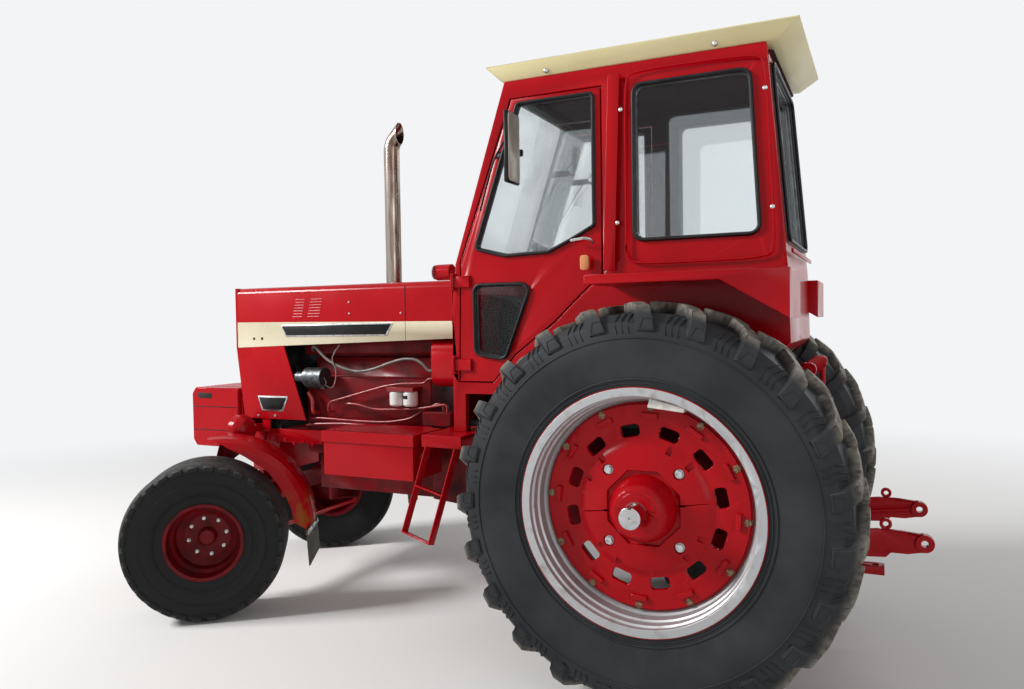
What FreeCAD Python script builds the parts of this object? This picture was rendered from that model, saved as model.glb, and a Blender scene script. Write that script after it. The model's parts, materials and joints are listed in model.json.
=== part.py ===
"""Farm tractor with a cab, in millimetres: +X forward, +Y to its left, +Z up from the ground.

Every place along the machine is measured from the rear axle, and each node is moved at the end
so that the origin lies on the ground under the middle of the whole.
"""
import FreeCAD, Part
import math
import os
import re
import Sketcher
from FreeCAD import Placement, Rotation, Vector

os.makedirs("parts", exist_ok=True)
doc = FreeCAD.newDocument("farm_tractor")

SIZES = {
    # Places of the axles
    "origin_ahead": 1107.03,
    "wheelbase": 2745,
    "rear_track_half": 768,
    "kingpin_half": 575,
    "steer_rest": 37.5,
    # Rear wheel: tyre, rim and cast centre
    "rear_tyre_r": 865,
    "rear_tyre_half": 233.5,
    "rear_tread_half": 215,
    "rear_bead_r": 486,
    "rear_rim_half": 215,
    "rear_flange_r": 512,
    "rear_well_r": 452,
    "rear_rim_steel": 9,
    "lug_count": 23,
    "lug_tall": 38,
    "lug_lap": 8,
    "lug_lead": 115,
    "lug_nose": 40,
    "lug_bend": 45,
    "lug_waist": 50,
    "lug_trail": 90,
    "lug_foot": 70,
    "centre_ring_r": 434,
    "centre_offset": 94,
    "centre_steel": 26,
    "centre_lugs": 12,
    "slot_in": 298,
    "slot_out": 350,
    "slot_half": 42,
    "disc_r": 255,
    "disc_offset": 116,
    "disc_recess": 168,
    "bolt_circle": 214.5,
    "hub_r": 118,
    "hub_offset": 224,
    "axle_shaft_r": 45,
    "shaft_offset": 317,
    # Front wheel, knuckle and beam
    "front_tyre_r": 445,
    "front_tyre_half": 177.5,
    "front_bead_r": 205,
    "front_rim_half": 145,
    "front_flange_r": 218,
    "front_rim_steel": 8,
    "front_offset": 220,
    "front_hub_r": 62,
    "spindle_r": 24,
    "kingpin_r": 18,
    "kingpin_boss_r": 33,
    "beam_z": 575,
    "beam_tall": 100,
    "beam_deep": 90,
    "steer_arm": 150,
    "steer_arm_z": 392,
    "tie_rod_r": 13,
    "pin_play": 0.3,
    "free_gap": 6,
    "guard_back": 85,
    "guard_rise": 48.2,
    "front_fender_r": 519,
    "front_fender_in": 40,
    "front_fender_out": 268,
    "fender_steel": 5,
    "flap_wide": 168,
    "flap_long": 212,
    "flap_thick": 8,
    # Engine, its frame and what hangs on it
    "engine_setback": 415,
    "engine_rear": 1440,
    "crankcase_half": 190,
    "crankcase_low": 860,
    "crankcase_top": 1330,
    "head_half": 130,
    "head_top": 1450,
    "cover_half": 92,
    "cover_top": 1510,
    "sump_half": 150,
    "sump_low": 640,
    "alternator_r": 59,
    "alternator_z": 1333,
    "alternator_out": 66,
    "filter_r": 42,
    "filter_low": 1176,
    "filter_top": 1262,
    "filter_out": 58,
    "filter_rear": 100,
    "filter_pitch": 92,
    "fan_z": 1360,
    "fan_r": 232,
    "radiator_half": 235,
    "radiator_top": 1760,
    "pipe_r": 7,
    "hose_r": 9,
    "filler_r": 14,
    "rail_out": 234,
    "rail_low": 921,
    "rail_top": 1003,
    "rail_lap": 140,
    "frame_lead": 35,
    "bolster_long": 220,
    "weights_long": 405,
    "weights_half": 300,
    "weights_low": 876,
    "weights_top": 1256,
    "weight_gap": 2,
    "weight_count": 8,
    # Bonnet, nose and exhaust
    "bonnet_half": 280,
    "bonnet_lead": 50,
    "bonnet_top": 1885,
    "bonnet_low_front": 1512,
    "bonnet_low_rear": 1566,
    "bonnet_steel": 8,
    "bonnet_round": 45,
    "nose_low": 1070,
    "nose_rake": 70,
    "nose_foot": 525,
    "nose_head": 365,
    "grille_half": 225,
    "grille_low": 1120,
    "grille_top": 1820,
    "grille_deep": 30,
    "grille_bars": 12,
    "headlamp_out": 385,
    "headlamp_z": 1012,
    "headlamp_r": 92,
    "exhaust_lead": 360,
    "exhaust_r": 47.5,
    "exhaust_wall": 3,
    "exhaust_bend_z": 2698,
    "exhaust_bend_r": 90,
    "exhaust_bend_deg": 45,
    "exhaust_slash": 60,
    "tank_front": 1395,
    "tank_low": 1290,
    "tank_top": 1560,
    # Gearcase and rear axle
    "case_half": 190,
    "case_low": 560,
    "case_top": 1105,
    "case_step": 1240,
    "case_rear": 330,
    "tube_setback": 178,
    "tube_r": 105,
    "tube_root_r": 155,
    "shaft_seat": 60,
    # Cab
    "tyre_gap": 64.5,
    "cab_wall": 45,
    "cab_front": 1135,
    "cab_top": 2850,
    "cab_roof_front": 812,
    "cab_roof_rear": 450,
    "cab_rear": 545,
    "belt_front_z": 1951,
    "belt_rear_z": 1878,
    "leg_low": 1081,
    "wall_low": 1280,
    "deck_rear_z": 1540,
    "floor_top": 1135,
    "deck_top": 1320,
    "work_lamp_z": 1916,
    "floor_steel": 20,
    "door_steel": 34,
    "door_gap": 6,
    "door_setback": 45,
    "door_rear": 310,
    "door_drop": 93,
    "door_sill": 1345,
    "door_knee": 1966,
    "door_head_front": 775,
    "window_rear": 420,
    "window_front": 147,
    "window_low": 2022,
    "window_drop": 108,
    "screen_edge": 75,
    "screen_low": 2010,
    "screen_drop": 60,
    "glass": 6,
    "glass_depth": 18,
    "corner": 45,
    "hinge_lead": 28,
    "hinge_stand": 20,
    "hinge_low": 1430,
    "hinge_high": 1860,
    "hinge_tall": 60,
    "hinge_pin_r": 6,
    "hinge_barrel_r": 11,
    "roof_flare": 40,
    "roof_thick": 75,
    "fender_over": 112,
    "fender_front": 254,
    "fender_rear": 585,
    "fender_top": 1847,
    "fender_deep": 40,
    "fender_skirt_z": 1647,
    # Tool boxes and ladders
    "box_in": 320,
    "box_out": 612,
    "box_rear": 1300,
    "box_setback": 871,
    "box_low": 830,
    "box_top": 1060,
    "box_steel": 4,
    "lid_lip": 55,
    "lid_gap": 5,
    "step_wide": 210,
    "step_long": 480,
    "step_bar": 40,
    "platform_top": 1081,
    "platform_steel": 20,
    "platform_out": 640,
    # Steering column
    "wheel_x": 640,
    "wheel_z": 1950,
    "wheel_lean": 35,
    "column_long": 296,
    # Hitch
    "rockshaft_back": 300,
    "rockshaft_z": 1180,
    "rockshaft_r": 32,
    "lift_end_back": 610,
    "lift_end_z": 1420,
    "link_y": 332,
    "link_thick": 20,
    "link_front_back": 120,
    "link_front_z": 600,
    "ball_back": 1065,
    "ball_z": 685,
    "ball_r": 38,
    "ball_hole_r": 14.35,
    "rod_foot_back": 620,
    "rod_foot_z": 649,
    "rod_y": 360,
    "hitch_pin_r": 12,
    "drawbar_end": 909,
    "drawbar_z": 459,
    "drawbar_thick": 36,
    "drawbar_half": 45,
    "drawbar_hole_r": 16,
    "pto_z": 700,
    "pto_r": 17.5,
    "pto_end": 425,
}

# Places that follow from the sizes
PLACES = {
    "engine_front": "wheelbase-engine_setback",
    "frame_front": "wheelbase+frame_lead",
    "frame_rear": "frame_front-bolster_long",
    "rail_rear": "engine_front-rail_lap",
    "weights_front": "frame_front+weights_long",
    "bonnet_front": "wheelbase+bonnet_lead",
    "nose_low_front": "bonnet_front-nose_rake",
    "nose_low_rear": "bonnet_front-nose_foot",
    "nose_top_rear": "bonnet_front-nose_head",
    "exhaust_x": "engine_rear+exhaust_lead",
    "box_front": "wheelbase-box_setback",
    "tube_end": "rear_track_half-tube_setback",
    "fender_out": "rear_track_half+fender_over",
    "cab_half": "rear_track_half-rear_tyre_half-tyre_gap",
    "screen_half": "cab_half-screen_edge",
    "hinge_y": "cab_half+hinge_stand",
    "door_front": "cab_front-door_setback",
    "hinge_x": "door_front+hinge_lead",
    "door_head": "cab_top-door_drop",
    "window_head": "cab_top-window_drop",
    "screen_head": "cab_top-screen_drop",
    "roof_top": "cab_top+roof_thick",
}

sheet = doc.addObject("Spreadsheet::Sheet", "dim")
for row, (alias, value) in enumerate(SIZES.items(), start=1):
    sheet.set(f"A{row}", alias)
    sheet.set(f"B{row}", str(value))
    sheet.setAlias(f"B{row}", alias)
doc.recompute()

TURNED = {
    "x": Rotation(Vector(0, 1, 0), 90),
    "y": Rotation(Vector(1, 0, 0), -90),
    "z": Rotation(),
}
PLANES = {"xy": "XY_Plane", "xz": "XZ_Plane", "yz": "YZ_Plane"}
FIRST_GUESS = Vector(10, 0, 0)


def formula(text):
    """Turn the size names in a formula into references to the sheet, and each place into its own formula."""

    def reference(word):
        if word[0] in PLACES:
            return f"({formula(PLACES[word[0]])})"
        return "dim." + word[0] if word[0] in SIZES else word[0]

    return re.sub(r"[a-z][a-z_]*", reference, str(text))


def size(text):
    """The number that a sum of sizes and places stands for, for the shapes that are made in code."""
    if text in SIZES:
        return float(sheet.get(text))
    terms = re.findall(r"([-+]?)([a-z_]+|[0-9.]+)", PLACES.get(text, text))
    return sum((-1 if sign == "-" else 1) * (float(term) if term[0].isdigit() else size(term))
               for sign, term in terms)


def bind(piece, **places):
    """Tie properties, written with _ for a dot, to formulas of the sheet's sizes."""
    for place, text in places.items():
        piece.setExpression(place.replace("_", "."), formula(text))


def box(name, x, y, z):
    """A block between the low and high ends that each axis gives."""
    piece = doc.addObject("Part::Box", name)
    bind(piece, Length=f"({x[1]})-({x[0]})", Width=f"({y[1]})-({y[0]})", Height=f"({z[1]})-({z[0]})")
    bind(piece, Placement_Base_x=x[0], Placement_Base_y=y[0], Placement_Base_z=z[0])
    return piece


def rod(name, axis, span, centre, radius, end_radius=None):
    """A round bar, or a cone, along one axis; centre gives the other two places in order."""
    piece = doc.addObject("Part::Cone" if end_radius else "Part::Cylinder", name)
    piece.Placement = Placement(Vector(), TURNED[axis])
    base = list(centre)
    base.insert("xyz".index(axis), span[0])
    bind(piece, Height=f"({span[1]})-({span[0]})")
    bind(piece, Placement_Base_x=base[0], Placement_Base_y=base[1], Placement_Base_z=base[2])
    if end_radius:
        bind(piece, Radius1=radius, Radius2=end_radius)
    else:
        bind(piece, Radius=radius)
    return piece


def sketch(body, plane, corners):
    """A closed outline on one of the body's own planes, each corner tied to the sheet."""
    drawn = body.newObject("Sketcher::SketchObject", body.Name + "_sketch")
    side = next(part for part in body.Origin.OriginFeatures if part.Role == PLANES[plane])
    drawn.AttachmentSupport = [(side, "")]
    drawn.MapMode = "FlatFace"
    count = len(corners)
    start = [Rotation(Vector(0, 0, 1), 360 * i / count).multVec(FIRST_GUESS) for i in range(count)]
    drawn.addGeometry([Part.LineSegment(start[i], start[(i + 1) % count]) for i in range(count)], False)
    for i, corner in enumerate(corners):
        drawn.addConstraint(Sketcher.Constraint("Coincident", i, 2, (i + 1) % count, 1))
    for i, (across, up) in enumerate(corners):
        for kind, value, text in (("DistanceX", start[i].x, across), ("DistanceY", start[i].y, up)):
            held = drawn.addConstraint(Sketcher.Constraint(kind, -1, 1, i, 1, value))
            drawn.setExpression(f"Constraints[{held}]", formula(text))
    return drawn


def outline(name, plane, corners, span, rounding=None):
    """A plate: a flat outline padded over a span across its plane, its long edges rounded on request."""
    body = doc.addObject("PartDesign::Body", name)
    drawn = sketch(body, plane, corners)
    low, high = span
    bind(drawn, AttachmentOffset_Base_z=f"-({high})" if plane == "xz" else low)
    pad = body.newObject("PartDesign::Pad", name + "_pad")
    pad.Profile = drawn
    bind(pad, Length=f"({high})-({low})")
    if rounding:
        doc.recompute()
        across = {"xy": Vector(0, 0, 1), "xz": Vector(0, 1, 0), "yz": Vector(1, 0, 0)}[plane]
        edges = [
            f"Edge{number}"
            for number, edge in enumerate(pad.Shape.Edges, start=1)
            if abs(edge.tangentAt(edge.FirstParameter).dot(across)) > 0.999
        ]
        fillet = body.newObject("PartDesign::Fillet", name + "_rounding")
        fillet.Base = (pad, edges)
        bind(fillet, Radius=rounding)
        body.Tip = fillet
    return body


def spin(name, axis, profile, centre=("0", "0")):
    """A turned piece: rows of place along the axis and radius, about a centre given as in rod."""
    body = doc.addObject("PartDesign::Body", name)
    plane = "yz" if axis == "y" else "xz"
    rows = [(radius, along) for along, radius in profile] if axis == "z" else profile
    drawn = sketch(body, plane, rows)
    turned = body.newObject("PartDesign::Revolution", name + "_turned")
    turned.Profile = drawn
    turned.ReferenceAxis = (drawn, ["V_Axis" if axis == "z" else "H_Axis"])
    turned.Angle = 360
    for place, text in zip([side for side in "xyz" if side != axis], centre):
        bind(body, **{"Placement_Base_" + place: text})
    return body


def joined(kind, name, pieces, listing):
    piece = doc.addObject(kind, name)
    setattr(piece, listing, list(pieces))
    return piece


def fuse(name, *pieces):
    return joined("Part::MultiFuse", name, pieces, "Shapes")


def together(name, *pieces):
    """Solids that stay apart, held as one object."""
    return joined("Part::Compound", name, pieces, "Links")


def cut(name, base, *tools):
    piece = doc.addObject("Part::Cut", name)
    piece.Base = base
    piece.Tool = tools[0] if len(tools) == 1 else fuse(name + "_tools", *tools)
    return piece


def common(name, base, tool):
    piece = doc.addObject("Part::Common", name)
    piece.Base = base
    piece.Tool = tool
    return piece


def mirror(piece):
    """The same piece on the other side of the machine."""
    other = doc.addObject("Part::Mirroring", piece.Name + "_mirrored")
    other.Source = piece
    other.Normal = Vector(0, 1, 0)
    return other


def around(piece, count, start=0):
    """Copies of a piece at equal turns about the axle that it was drawn on."""
    copies = []
    for number in range(count):
        copy = together(f"{piece.Name}_{number}_{start:.0f}".replace("-", "m"), piece)
        copy.Placement = Placement(Vector(), Rotation(Vector(0, 1, 0), start + 360 * number / count))
        copies.append(copy)
    return copies


def tube(name, radius, route):
    """A bent tube: straight runs joined by tangent arcs, each as wide as its two runs allow."""
    points = [Vector(*point) for point in route]
    edges, start = [], points[0]
    for before, corner, after in zip(points, points[1:], points[2:]):
        into, onward = corner - before, after - corner
        half_turn = into.getAngle(onward) / 2
        run = 0.45 * min(into.Length, onward.Length)
        bend = run / math.tan(half_turn)
        into.normalize()
        onward.normalize()
        inside = (onward - into).normalize()
        first, last = corner - into * run, corner + onward * run
        middle = corner + inside * (bend / math.cos(half_turn) - bend)
        edges += [Part.LineSegment(start, first).toShape(), Part.Arc(first, middle, last).toShape()]
        start = last
    edges.append(Part.LineSegment(start, points[-1]).toShape())
    end = Part.Wire(Part.Circle(points[0], points[1] - points[0], size(radius)).toShape())
    piece = doc.addObject("Part::Feature", name)
    piece.Shape = Part.Wire(edges).makePipeShell([end], True, False)
    return piece


nodes = []


def labelled(label, pieces):
    """Hold a node's pieces as one object that bears the node's plain name."""
    for namesake in doc.getObjectsByLabel(label):
        namesake.Label = label + "_solid"
    whole = together(label + "_node", *pieces)
    whole.Label = label
    return whole


def node(label, *pieces, out="0", up="0"):
    """A finished piece of the machine, moved from the rear axle's frame to the origin's."""
    whole = labelled(label, pieces)
    bind(whole, Placement_Base_x="-origin_ahead", Placement_Base_y=out, Placement_Base_z=up)
    nodes.append(whole)


def steered(label, side, *pieces):
    """A piece drawn about its kingpin, set in place and turned with the wheel."""
    whole = labelled(label, pieces)
    bind(whole, Placement_Base_x="wheelbase-origin_ahead", Placement_Base_y=f"{side}*kingpin_half")
    bind(whole, Placement_Rotation_Angle="steer_rest")
    whole.Placement = Placement(whole.Placement.Base, Rotation(Vector(0, 0, 1), SIZES["steer_rest"]))
    nodes.append(whole)


def pair(label, *pieces, out="0", up="0"):
    """A left and a right node of one shape."""
    node(label + "_left", *pieces, out=out, up=up)
    node(label + "_right", *[mirror(piece) for piece in pieces], out=f"-({out})", up=up)


def steered_pair(label, piece):
    steered(label + "_left", 1, piece)
    steered(label + "_right", -1, mirror(piece))


# Rear wheels, drawn about the axle at mid width: the tyre with its lugs, the rim, the cast centre, the shaft

tyre_wall = spin("tyre_wall", "y", [
    ("-rear_rim_half+9", "rear_bead_r"),
    ("-rear_rim_half+9", "rear_bead_r+50"),
    ("-rear_tyre_half", "rear_tyre_r-215"),
    ("-rear_tyre_half+2", "rear_tyre_r-150"),
    ("-rear_tread_half", "rear_tyre_r-lug_tall-37"),
    ("-rear_tread_half+50", "rear_tyre_r-lug_tall"),
    ("rear_tread_half-50", "rear_tyre_r-lug_tall"),
    ("rear_tread_half", "rear_tyre_r-lug_tall-37"),
    ("rear_tyre_half-2", "rear_tyre_r-150"),
    ("rear_tyre_half", "rear_tyre_r-215"),
    ("rear_rim_half-9", "rear_bead_r+50"),
    ("rear_rim_half-9", "rear_bead_r"),
    ("rear_rim_half-60", "rear_bead_r"),
    ("rear_tyre_half-40", "rear_tyre_r-215"),
    ("rear_tread_half-60", "rear_tyre_r-85"),
    ("-rear_tread_half+60", "rear_tyre_r-85"),
    ("-rear_tyre_half+40", "rear_tyre_r-215"),
    ("-rear_rim_half+60", "rear_bead_r"),
])

# One lug leads at the middle of the tread and trails at the shoulder, where it runs down the side
lug_ring = spin("lug_ring", "y", [
    ("-lug_lap", "rear_tyre_r"),
    ("rear_tread_half-95", "rear_tyre_r-3"),
    ("rear_tread_half-22", "rear_tyre_r-16"),
    ("rear_tyre_half-7", "rear_tyre_r-62"),
    ("rear_tyre_half", "rear_tyre_r-122"),
    ("rear_tyre_half-24", "rear_tyre_r-122"),
    ("rear_tread_half-40", "rear_tyre_r-lug_tall-27"),
    ("-lug_lap", "rear_tyre_r-lug_tall-20"),
])
lug_bar = outline("lug_bar", "xy", [
    ("lug_lead", "-lug_lap-2"), ("lug_bend", "rear_tread_half/2"), ("lug_foot-lug_trail", "rear_tyre_half+10"),
    ("-lug_trail", "rear_tyre_half+10"), ("lug_bend-lug_waist", "rear_tread_half/2"),
    ("lug_lead-lug_nose", "-lug_lap-2"),
], ("rear_tyre_r-140", "rear_tyre_r+20"))
lug = common("lug", lug_bar, lug_ring)
lug_count = int(SIZES["lug_count"])
outer_lugs = fuse("outer_lugs", tyre_wall, *around(lug, lug_count))
rear_tyre = fuse("rear_tyre", outer_lugs, *around(mirror(lug), lug_count, 180 / lug_count))
rear_tyre.Refine = False
pair("rear_tyre", rear_tyre, out="rear_track_half", up="rear_tyre_r")

rear_rim = spin("rear_rim", "y", [
    ("-rear_rim_half", "rear_flange_r"),
    ("-rear_rim_half+9", "rear_flange_r"),
    ("-rear_rim_half+9", "rear_bead_r"),
    ("-95", "rear_bead_r-6"),
    ("-75", "rear_well_r"),
    ("75", "rear_well_r"),
    ("95", "rear_bead_r-6"),
    ("rear_rim_half-9", "rear_bead_r"),
    ("rear_rim_half-9", "rear_flange_r"),
    ("rear_rim_half", "rear_flange_r"),
    ("rear_rim_half", "rear_bead_r-rear_rim_steel"),
    ("rear_rim_half-24", "rear_bead_r-rear_rim_steel"),
    ("rear_rim_half-32", "rear_bead_r-2*rear_rim_steel"),
    ("rear_rim_half-66", "rear_bead_r-2*rear_rim_steel"),
    ("rear_rim_half-74", "rear_bead_r-3*rear_rim_steel"),
    ("95", "rear_bead_r-3*rear_rim_steel"),
    ("75", "rear_well_r-rear_rim_steel"),
    ("-75", "rear_well_r-rear_rim_steel"),
    ("-95", "rear_bead_r-6-rear_rim_steel"),
    ("-rear_rim_half", "rear_bead_r-rear_rim_steel"),
])
pair("rear_rim", rear_rim, out="rear_track_half", up="rear_tyre_r")

casting_body = spin("casting_body", "y", [
    ("centre_offset-60", "axle_shaft_r+pin_play"),
    ("centre_offset-60", "hub_r"),
    ("disc_offset-centre_steel", "hub_r+30"),
    ("disc_offset-centre_steel", "disc_r-20"),
    ("centre_offset-centre_steel", "disc_r+40"),
    ("centre_offset-centre_steel", "rear_well_r-rear_rim_steel"),
    ("centre_offset-centre_steel+7", "rear_well_r-rear_rim_steel"),
    ("centre_offset-centre_steel+7", "centre_ring_r"),
    ("centre_offset", "centre_ring_r"),
    ("centre_offset", "disc_r+40"),
    ("disc_offset", "disc_r"),
    ("disc_offset+8", "hub_r+25"),
    ("hub_offset-20", "hub_r"),
    ("hub_offset", "hub_r-20"),
    ("hub_offset", "axle_shaft_r+pin_play"),
])
centre_lugs = int(SIZES["centre_lugs"])
rim_bar = box("rim_bar", ("-34", "34"), ("centre_offset-2", "centre_offset+14"), ("centre_ring_r-58", "centre_ring_r-36"))
centre_slot = outline("centre_slot", "xz", [
    ("-slot_half", "slot_in"), ("slot_half", "slot_in"), ("slot_half", "slot_out"), ("-slot_half", "slot_out"),
], ("centre_offset-centre_steel-20", "disc_offset+20"), "16")
edge_notch = box("edge_notch", ("-12", "12"), ("centre_offset+3", "disc_offset+20"), ("disc_r-6", "disc_r+45"))
bolt_well = rod("bolt_well", "y", ("disc_offset-8", "disc_offset+20"), ("0", "bolt_circle"), "24")
disc_joint = box("disc_joint", ("-1.5", "1.5"), ("disc_offset-10", "disc_offset+20"), ("disc_recess-10", "disc_r+45"))
octagon = [(f"disc_recess*cos({45 * side + 22.5})", f"disc_recess*sin({45 * side + 22.5})") for side in range(8)]
hub_recess = cut("hub_recess", outline("hub_recess_outer", "xz", octagon, ("disc_offset-9", "disc_offset+30")),
                 rod("hub_recess_inner", "y", ("disc_offset-20", "disc_offset+40"), ("0", "0"), "hub_r+22"))
hub_wedge = cut(
    "hub_wedge",
    common("half_moon", rod("half_moon_round", "y", ("hub_offset-2", "hub_offset+5"), ("0", "0"), "hub_r-36"),
           box("half_moon_side", ("-hub_r", "hub_r"), ("hub_offset-4", "hub_offset+8"), ("14", "hub_r"))),
    rod("half_moon_bore", "y", ("hub_offset-6", "hub_offset+10"), ("0", "0"), "axle_shaft_r+pin_play+1"),
)
centre_casting = cut(
    "centre_casting",
    fuse("casting_solid", casting_body, hub_wedge, *around(rim_bar, centre_lugs, -4)),
    hub_recess, *around(centre_slot, centre_lugs, 11), *around(edge_notch, 4, -25), *around(edge_notch, 4, -47),
    *around(bolt_well, 4, 45), *around(disc_joint, 2, -82),
)
axle_shaft = cut(
    "axle_shaft",
    rod("axle_bar", "y", ("-tube_setback-shaft_seat+1", "shaft_offset"), ("0", "0"), "axle_shaft_r"),
    box("keyway", ("-7", "7"), ("hub_offset+15", "shaft_offset+10"), ("axle_shaft_r-9", "axle_shaft_r+9")),
    rod("centre_mark", "y", ("shaft_offset-10", "shaft_offset+5"), ("0", "0"), "5"),
)
pair("rear_wheel_centre", centre_casting, axle_shaft, out="rear_track_half", up="rear_tyre_r")

# Front wheels, mudguards and knuckles, drawn straight ahead about the kingpin

grooves = []
for place in (-62, 0, 62):
    for across, deep in ((-7, 0), (-5, 13), (5, 13), (7, 0)):
        grooves.append((f"front_offset+{place + across}", f"front_tyre_r-{deep}"))
front_tyre = spin("front_tyre", "y", [
    ("front_offset-front_rim_half+6", "front_bead_r"),
    ("front_offset-front_rim_half+6", "front_bead_r+30"),
    ("front_offset-front_tyre_half", "front_tyre_r-115"),
    ("front_offset-front_tyre_half+8", "front_tyre_r-30"),
    ("front_offset-front_tyre_half+26", "front_tyre_r-9"),
    ("front_offset-front_tyre_half+58", "front_tyre_r"),
    *grooves,
    ("front_offset+front_tyre_half-58", "front_tyre_r"),
    ("front_offset+front_tyre_half-26", "front_tyre_r-9"),
    ("front_offset+front_tyre_half-8", "front_tyre_r-30"),
    ("front_offset+front_tyre_half", "front_tyre_r-115"),
    ("front_offset+front_rim_half-6", "front_bead_r+30"),
    ("front_offset+front_rim_half-6", "front_bead_r"),
    ("front_offset+front_rim_half-45", "front_bead_r"),
    ("front_offset+front_tyre_half-30", "front_tyre_r-115"),
    ("front_offset+front_tyre_half-50", "front_tyre_r-45"),
    ("front_offset-front_tyre_half+50", "front_tyre_r-45"),
    ("front_offset-front_tyre_half+30", "front_tyre_r-115"),
    ("front_offset-front_rim_half+45", "front_bead_r"),
], ("0", "front_tyre_r"))
steered_pair("front_tyre", front_tyre)

front_rim_barrel = spin("front_rim_barrel", "y", [
    ("front_offset-front_rim_half", "front_flange_r"),
    ("front_offset-front_rim_half+6", "front_flange_r"),
    ("front_offset-front_rim_half+6", "front_bead_r"),
    ("front_offset-70", "front_bead_r-5"),
    ("front_offset-50", "front_bead_r-25"),
    ("front_offset+50", "front_bead_r-25"),
    ("front_offset+70", "front_bead_r-5"),
    ("front_offset+front_rim_half-6", "front_bead_r"),
    ("front_offset+front_rim_half-6", "front_flange_r"),
    ("front_offset+front_rim_half", "front_flange_r"),
    ("front_offset+front_rim_half", "front_bead_r-front_rim_steel"),
    ("front_offset+70", "front_bead_r-5-front_rim_steel"),
    ("front_offset+50", "front_bead_r-25-front_rim_steel"),
    ("front_offset+10", "front_bead_r-30-front_rim_steel"),
    ("front_offset-30", "front_hub_r+45"),
    ("front_offset-30", "spindle_r+pin_play"),
    ("front_offset-120", "spindle_r+pin_play"),
    ("front_offset-120", "front_hub_r-10"),
    ("front_offset-60", "front_hub_r"),
    ("front_offset-42", "front_hub_r+45"),
    ("front_offset-10", "front_bead_r-30-front_rim_steel"),
    ("front_offset-50", "front_bead_r-25-front_rim_steel"),
    ("front_offset-70", "front_bead_r-5-front_rim_steel"),
    ("front_offset-front_rim_half", "front_bead_r-front_rim_steel"),
], ("0", "front_tyre_r"))
front_hub_cap = spin("front_hub_cap", "y", [
    ("front_offset-30", "0"),
    ("front_offset-30", "front_hub_r-10"),
    ("front_offset+20", "front_hub_r-14"),
    ("front_offset+28", "front_hub_r-24"),
    ("front_offset+28", "0"),
], ("0", "front_tyre_r"))
steered_pair("front_rim", fuse("front_rim", front_rim_barrel, front_hub_cap))


def guard_point(angle, depth):
    """A point of the mudguard's side view: its angle about the guard's own centre, and its depth inwards."""
    reach = f"(front_fender_r-({depth}))"
    return (f"{reach}*cos({angle})-guard_back", f"front_tyre_r+guard_rise+{reach}*sin({angle})")


def guard_ring(name, profile):
    """A ring about the guard's own centre, from rows of place across and depth inwards."""
    rows = [(across, f"front_fender_r-({depth})") for across, depth in profile]
    return spin(name, "y", rows, ("-guard_back", "front_tyre_r+guard_rise"))


# Columns: angle and depth of the skirt's lower edge, from the pointed tip round to the rear corner
GUARD_EDGE = ((81.6, 2), (91, 39), (108, 89), (128, 110), (149, 122), (166, 124), (178.6, 119), (184.1, 54))
guard_wide = ("-40", "front_fender_out+40")
guard_side = outline("guard_side", "xz", [guard_point(angle, depth) for angle, depth in GUARD_EDGE] + [
    guard_point(angle, -60) for angle in (174.5, 150, 120, 95, 80)
], guard_wide)
guard_shell = guard_ring("guard_shell", [
    ("front_fender_in", "0"), ("front_fender_out-78", "0"), ("front_fender_out-42", "8"),
    ("front_fender_out-16", "28"), ("front_fender_out", "62"), ("front_fender_out", "130"),
    ("front_fender_out-fender_steel", "130"), ("front_fender_out-fender_steel", "63"),
    ("front_fender_out-20", "32"), ("front_fender_out-44", "13"), ("front_fender_out-79", "fender_steel"),
    ("front_fender_in", "fender_steel"),
])
flap_top = guard_point(*GUARD_EDGE[-1])


def flap_sheet(name, corners, span):
    """A sheet in the leaning plane of the flap, measured from the low rear corner of the mudguard."""
    sheet_held = together(name + "_held", outline(name, "yz", corners, span))
    sheet_held.Placement = Placement(Vector(), Rotation(Vector(0, 0, 1), -20) * Rotation(Vector(0, 1, 0), 4))
    bind(sheet_held, Placement_Base_x=flap_top[0], Placement_Base_z=flap_top[1],
         Placement_Base_y="front_fender_out-fender_steel-1")
    return sheet_held


flap_flange = flap_sheet("flap_flange", [
    ("0", "22"), ("-flap_wide-2", "72"), ("-flap_wide-2", "8"), ("0", "-38"),
], ("0", "fender_steel"))
steered_pair("front_fender", fuse("front_fender", common("guard_sheet", guard_shell, guard_side), flap_flange))

mudflap = flap_sheet("mudflap_sheet", [
    ("0", "-6"), ("-flap_wide", "34"), ("-flap_wide", "56-flap_long"), ("0", "-6-flap_long"),
], ("-flap_thick-pin_play", "-pin_play"))
steered_pair("mudflap", mudflap)

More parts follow.
